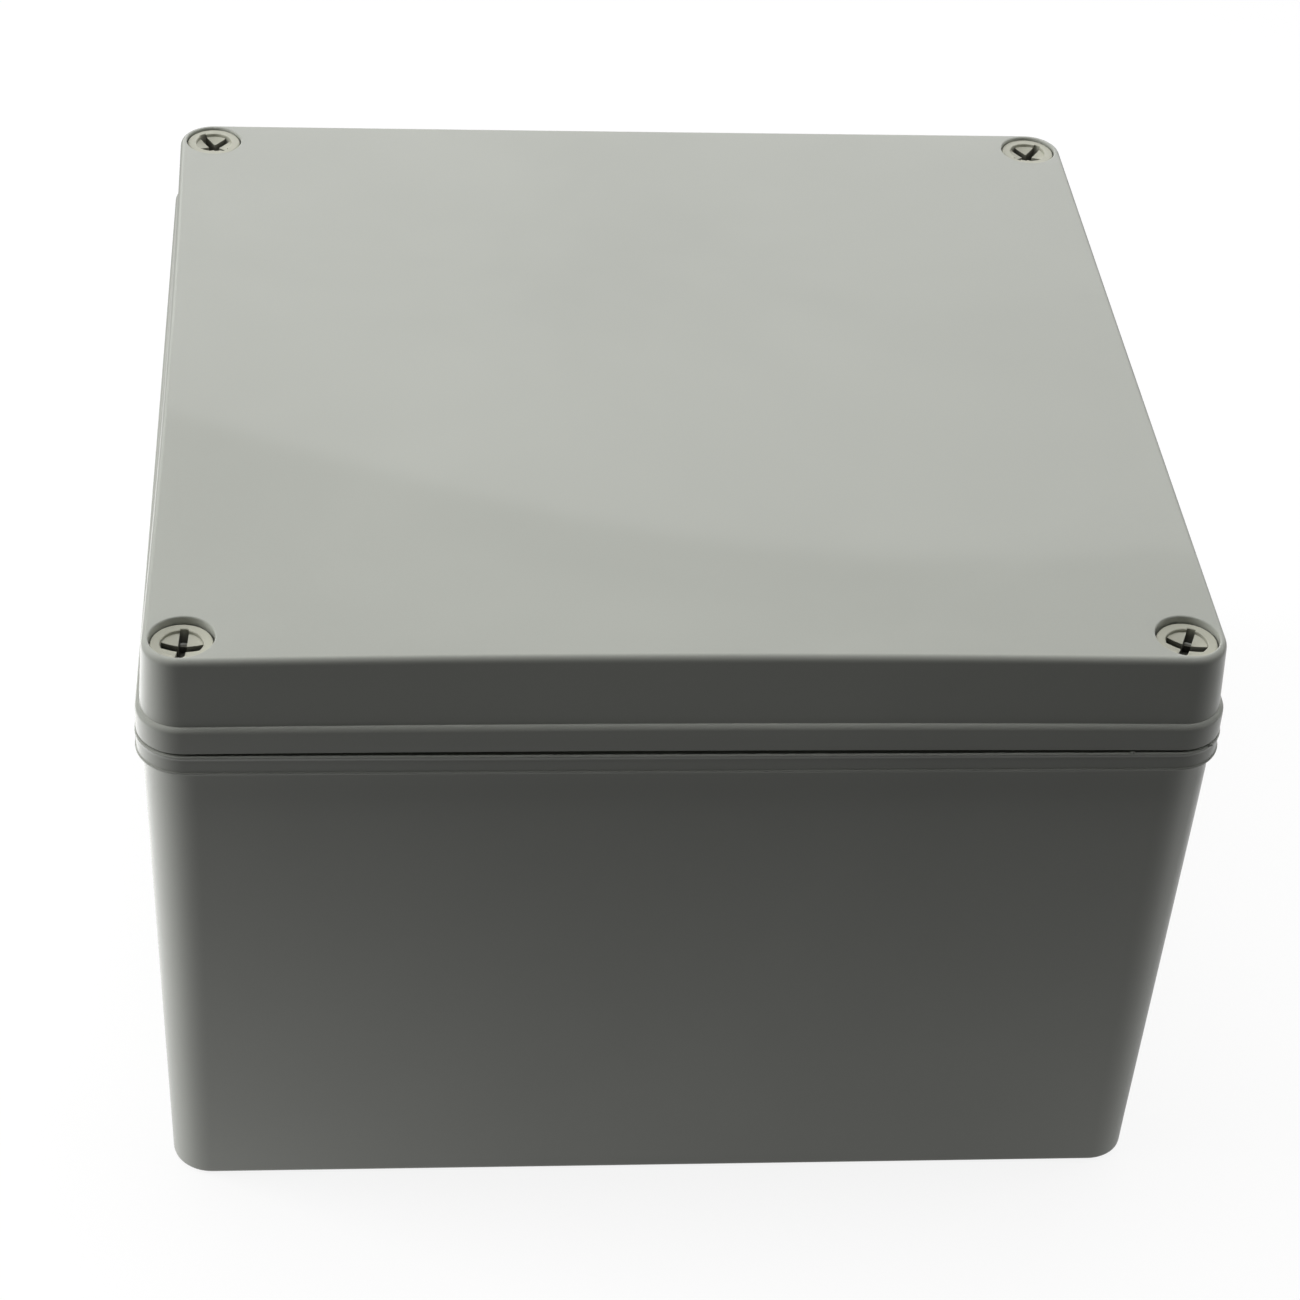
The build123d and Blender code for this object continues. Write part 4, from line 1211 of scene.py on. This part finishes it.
def strip(points, thickness, bend_radius):
    """Counter-clockwise outline of a bent strip about a centre line."""
    places = [np.array(point, float) for point in points]
    line = [places[0]]
    for before, place, after in zip(places, places[1:], places[2:]):
        len_before, len_after = np.linalg.norm(before - place), np.linalg.norm(after - place)
        u, v = (before - place) / len_before, (after - place) / len_after
        angle = math.acos(max(-1, min(1, float(u @ v))))
        cut = min(bend_radius / math.tan(angle / 2), 0.45 * len_before, 0.45 * len_after)
        for k in range(7):
            s = k / 6
            line.append((1 - s) ** 2 * (place + u * cut) + 2 * s * (1 - s) * place
                        + s ** 2 * (place + v * cut))
    line.append(places[-1])
    edges = [b - a for a, b in zip(line, line[1:])]
    normals = [np.array([-e[1], e[0]]) / np.linalg.norm(e) for e in edges]
    left, right = [], []
    for i, place in enumerate(line):
        beside = normals[max(i - 1, 0):i + 1]
        offset = sum(beside) / len(beside)
        offset = offset / (offset @ offset)
        left.append(tuple(place + offset * thickness / 2))
        right.append(tuple(place - offset * thickness / 2))
    out = left + right[::-1]
    area = sum(a[0] * b[1] - b[0] * a[1] for a, b in zip(out, out[1:] + out[:1]))
    return out if area > 0 else out[::-1]


BAR_HALF = 2.8      # half width of the bars along X


def build_bars(name, piece, numbers):
    """U-shaped bars on the chamber floors of the numbered terminals."""
    shell = Shell()
    outline = strip([(-13.8, 51.0), (-13.8, 44.6), (13.8, 44.6), (13.8, 51.0)], 1.2, 1.2)
    for i in numbers:
        middle = chamber_middle(i)
        prism(shell, outline, middle - BAR_HALF, middle + BAR_HALF, 0.12)
    shell.mesh(name, BAR_TIN, "base", [piece], sharp=34)


def build_springs():
    shell = Shell()
    line = [(2.6, 45.22), (2.6, 51.6), (4.6, 54.6), (7.4, 54.6), (11.2, 48.2)]
    for i in range(len(TERMINALS)):
        middle = chamber_middle(i)
        for side in (-1, 1):
            outline = strip([(side * y, z) for y, z in line], 0.5, 1.5)
            prism(shell, outline, middle - 2.4, middle + 2.4, 0.08)
    shell.mesh("spring_set", SPRING_STEEL, "base", ["clamp_springs"], sharp=34)


def build_earth_foot():
    """Upright strip from the rail to the earth bar."""
    shell = Shell()
    middle = chamber_middle(4)
    outline = round_poly([(14.4, RAIL_TOP), (15.8, RAIL_TOP), (15.8, 44.0), (14.4, 44.0)],
                         0.15, n=3)
    prism(shell, outline, middle - BAR_HALF, middle + BAR_HALF, 0.12)
    shell.mesh("earth_foot_strip", BAR_TIN, "base", ["earth_foot"], sharp=34)


def build_end_cover():
    shell = Shell()
    outline = round_poly([(y, z, r or 0.4) for y, z, r in HOUSING])
    prism(shell, outline, ROW_HALF + 0.02, ROW_HALF + 1.5, 0.14)
    shell.mesh("cover_plate", GREY, "base", ["end_cover"], sharp=34)


def build_end_clamps():
    """Clamps at both ends of the row, with a shallow recess in each face."""
    shell = Shell()
    # Section: (y, z, corner radius)
    outline = round_poly([
        (22.0, 24.0, 1.0), (22.0, 34.0, 2.0), (12.0, 46.0, 1.5), (-12.0, 46.0, 1.5),
        (-22.0, 34.0, 2.0), (-22.0, 24.0, 1.0), (-20.0, 17.0, 0.6), (-16.0, 17.0, 0.4),
        (-16.0, 19.9, 0.2), (-17.7, 19.9, 0.3), (-17.7, RAIL_TOP, 0.2), (17.7, RAIL_TOP, 0.2),
        (17.7, 19.9, 0.3), (16.0, 19.9, 0.2), (16.0, 17.0, 0.4), (20.0, 17.0, 0.6)])
    recess = round_poly([(-8.0, 30.0), (8.0, 30.0), (8.0, 40.0), (-8.0, 40.0)], 2.0)
    for left, right in ((-ROW_HALF - 9.0, -ROW_HALF - 0.02), (ROW_HALF + 1.52, ROW_HALF + 10.5)):
        loops = bevelled(shell, outline, left, right, 0.15)
        shell.stack(loops)
        for face, x, inwards in ((loops[0], left, 1), (loops[-1], right, -1)):
            sunk = [shell.loop_yz(inset(recess, distance), x + inwards * depth)
                    for distance, depth in ((-0.15, 0.0), (0.0, 0.15), (0.0, 1.6), (0.3, 1.9))]
            shell.stack(sunk)
            shell.region(sunk[-1], axes=YZ)
            shell.region(face, [sunk[0]], axes=YZ)
    shell.mesh("clamp_pair", CLAMP_GREY, "base", ["end_clamps"], sharp=34)


build_lid()
build_base()
build_flash()
for corner in CORNERS:
    build_screw(corner)
build_gasket()
for corner in CORNERS:
    build_ring(corner)
build_plate_screws()
build_rail_screws()
build_inserts()
build_plate()
build_stud()
build_washer()
build_nut()
build_rail()
for number, (name, material, slot) in enumerate(TERMINALS):
    build_housing(number, name, material)
    build_release(number, name)
    build_tags(number, name)
build_bars("bar_set", "current_bars", range(4))
build_springs()
build_bars("earth_bar_strip", "earth_bar", [4])
build_earth_foot()
build_end_cover()
build_end_clamps()


# =============================================================================
# Floor, light and camera, in metres
# =============================================================================
PALE = 0.90             # brightness of the surround as the camera sees it
FLOOR_BOUNCE = 0.05     # colour of the floor as everything else sees it
# Light thrown up by the table round the box: x, y, spread, strength
TABLE_GLOW = [(0.0, -0.22, 0.12, 0.10), (-0.25, -0.05, 0.12, 1.02), (0.25, -0.05, 0.12, 0.6),
              (0.0, -0.15, 0.05, 0.09)]
# The same table as glossy plastic mirrors it
TABLE_SHEEN = [(-0.24, 0.06, 0.14, 2.0), (0.24, 0.06, 0.14, 0.7), (0.0, -0.4, 0.25, 0.2)]


def studio_paper():
    m = Material("studio_paper")
    tint = m.ramp(m.noise(scale=3.0, detail=3.0),
                  low=(0.3, (0.150,) * 3), high=(0.7, (0.158,) * 3))
    m.set(Base_Color=tint, Roughness=0.95, Specular_IOR_Level=0.0,
          Emission_Color=(1, 1, 1), Emission_Strength=PALE - 0.035)
    path = m.nodes.new("ShaderNodeLightPath").outputs
    split = m.nodes.new("ShaderNodeSeparateXYZ")
    m.feed(split.inputs[0], m.object_place)

    def squared_distance(axis, middle):
        offset = m.math("SUBTRACT", split.outputs[axis], middle)
        return m.math("POWER", m.math("ABSOLUTE", offset), 2.0)

    def glow(spots):
        lit = []
        for x, y, spread, strength in spots:
            square = m.math("ADD", squared_distance("X", x), squared_distance("Y", y))
            fall = m.math("EXPONENT", m.math("MULTIPLY", square, -0.5 / spread ** 2))
            lit.append(m.math("MULTIPLY", fall, strength))
        return m.total(lit)

    glossy = path["Is Glossy Ray"]
    table = m.math("MULTIPLY", glow(TABLE_GLOW), m.math("SUBTRACT", 1.0, glossy))
    sheen = m.math("MULTIPLY", glow(TABLE_SHEEN), glossy)
    emission = m.add("Emission", {"Strength": m.math("ADD", table, sheen)})
    bounce = m.add("BsdfDiffuse", {"Color": (FLOOR_BOUNCE,) * 3})
    unseen = m.add("AddShader", {0: bounce, 1: emission})
    m.feed(m.surface, m.add("MixShader", {
        0: path["Is Camera Ray"], 1: unseen, 2: m.principled.outputs[0]}))
    return m.material


def build_floor():
    data = bpy.data.meshes.new("floor")
    bm = bmesh.new()
    stations = np.linspace(-30, 30, 7)
    rows = [[bm.verts.new((x, y, -0.0002)) for x in stations] for y in stations]
    for a, b in zip(rows, rows[1:]):
        for i in range(6):
            bm.faces.new((a[i], a[i + 1], b[i + 1], b[i]))
    bm.to_mesh(data)
    bm.free()
    ob = bpy.data.objects.new("floor", data)
    scene.collection.objects.link(ob)
    data.materials.append(studio_paper())


# Bright card behind the box, which ends at an edge that the lid mirrors
CARD_NORMAL, CARD_EDGE, CARD_BLUR = (-0.1734, -0.9562, 0.2358), -0.6583, 0.002
# Studio surround: direction and strength of each broad light; the fifth is the card
LOBES = [((0, 0, 1), 0.0), ((0, 1, 0), 0.0), ((-1, 0, 0), 0.05), ((1, 0, 0), 0.0),
         ((0, 1, 0), 1.75), ((0, -1, 0), 0.0)]
CARD_LOBE = 4


def build_world():
    world = bpy.data.worlds.new("studio")
    scene.world = world
    world.use_nodes = True
    graph = Graph(world.node_tree)
    surface = graph.nodes.new("ShaderNodeOutputWorld").inputs[0]
    direction = graph.add("TexCoord", output="Generated")

    def facing(axis):
        return graph.add("VectorMath", {0: direction, 1: axis}, output="Value",
                         operation="DOT_PRODUCT")

    lit = []
    for i, (axis, strength) in enumerate(LOBES):
        lobe = graph.math("POWER", graph.math("MAXIMUM", facing(axis), 0.0), 2.0)
        if i == CARD_LOBE:
            card = graph.remap(facing(CARD_NORMAL), to=(1.0, 0.0),
                               span=(CARD_EDGE - CARD_BLUR, CARD_EDGE + CARD_BLUR),
                               interpolation_type="SMOOTHSTEP")
            lobe = graph.math("MULTIPLY", lobe, card)
        lit.append(graph.math("MULTIPLY", lobe, strength))
    around = graph.add("Background", {1: graph.total(lit)})
    seen = graph.add("Background", {0: (PALE,) * 3})
    camera_ray = graph.add("LightPath", output="Is Camera Ray")
    graph.feed(surface, graph.add("MixShader", {0: camera_ray, 1: around, 2: seen}))


def softbox(name, location, size, size_y, power):
    """Area light aimed at the box, hidden from the camera and from reflections."""
    light = bpy.data.lights.new(name, "AREA")
    light.shape = "RECTANGLE"
    light.size = size
    light.size_y = size_y
    light.energy = power
    ob = bpy.data.objects.new(name, light)
    scene.collection.objects.link(ob)
    ob.location = location
    aim = Vector((0.0, 0.0, 0.1)) - Vector(location)
    ob.rotation_euler = aim.to_track_quat("-Z", "Y").to_euler()
    ob.visible_camera = False
    ob.visible_glossy = False


CAMERA_MM = (-60.768, -570.302, 490.849)
YAW, PITCH, ROLL = radians(-6.3647), radians(37.0575), radians(3.7633)


def build_camera():
    data = bpy.data.cameras.new("camera")
    ob = bpy.data.objects.new("camera", data)
    scene.collection.objects.link(ob)
    scene.camera = ob
    forward = Vector((-sin(YAW) * cos(PITCH), cos(YAW) * cos(PITCH), -sin(PITCH)))
    level = Vector((cos(YAW), sin(YAW), 0.0))
    upright = level.cross(forward)
    right = cos(ROLL) * level + sin(ROLL) * upright
    up = -sin(ROLL) * level + cos(ROLL) * upright
    matrix = Matrix((right, up, -forward)).transposed().to_4x4()
    matrix.translation = Vector(CAMERA_MM) * MM
    ob.matrix_world = matrix
    data.sensor_fit = "HORIZONTAL"
    data.sensor_width = 36.0
    data.lens = 92.9531077
    data.clip_start, data.clip_end = 0.01, 20.0


build_floor()
build_world()
softbox("softbox_top", (0.0, 0.12, 1.6), size=1.4, size_y=1.0, power=18.9)
softbox("softbox_left", (-1.1, 0.15, 0.45), size=0.6, size_y=0.6, power=10.5)
softbox("softbox_right", (1.2, 0.2, 0.45), size=0.6, size_y=0.6, power=3.5)
build_camera()
scene.view_settings.view_transform = "Standard"
scene.view_settings.look = "None"
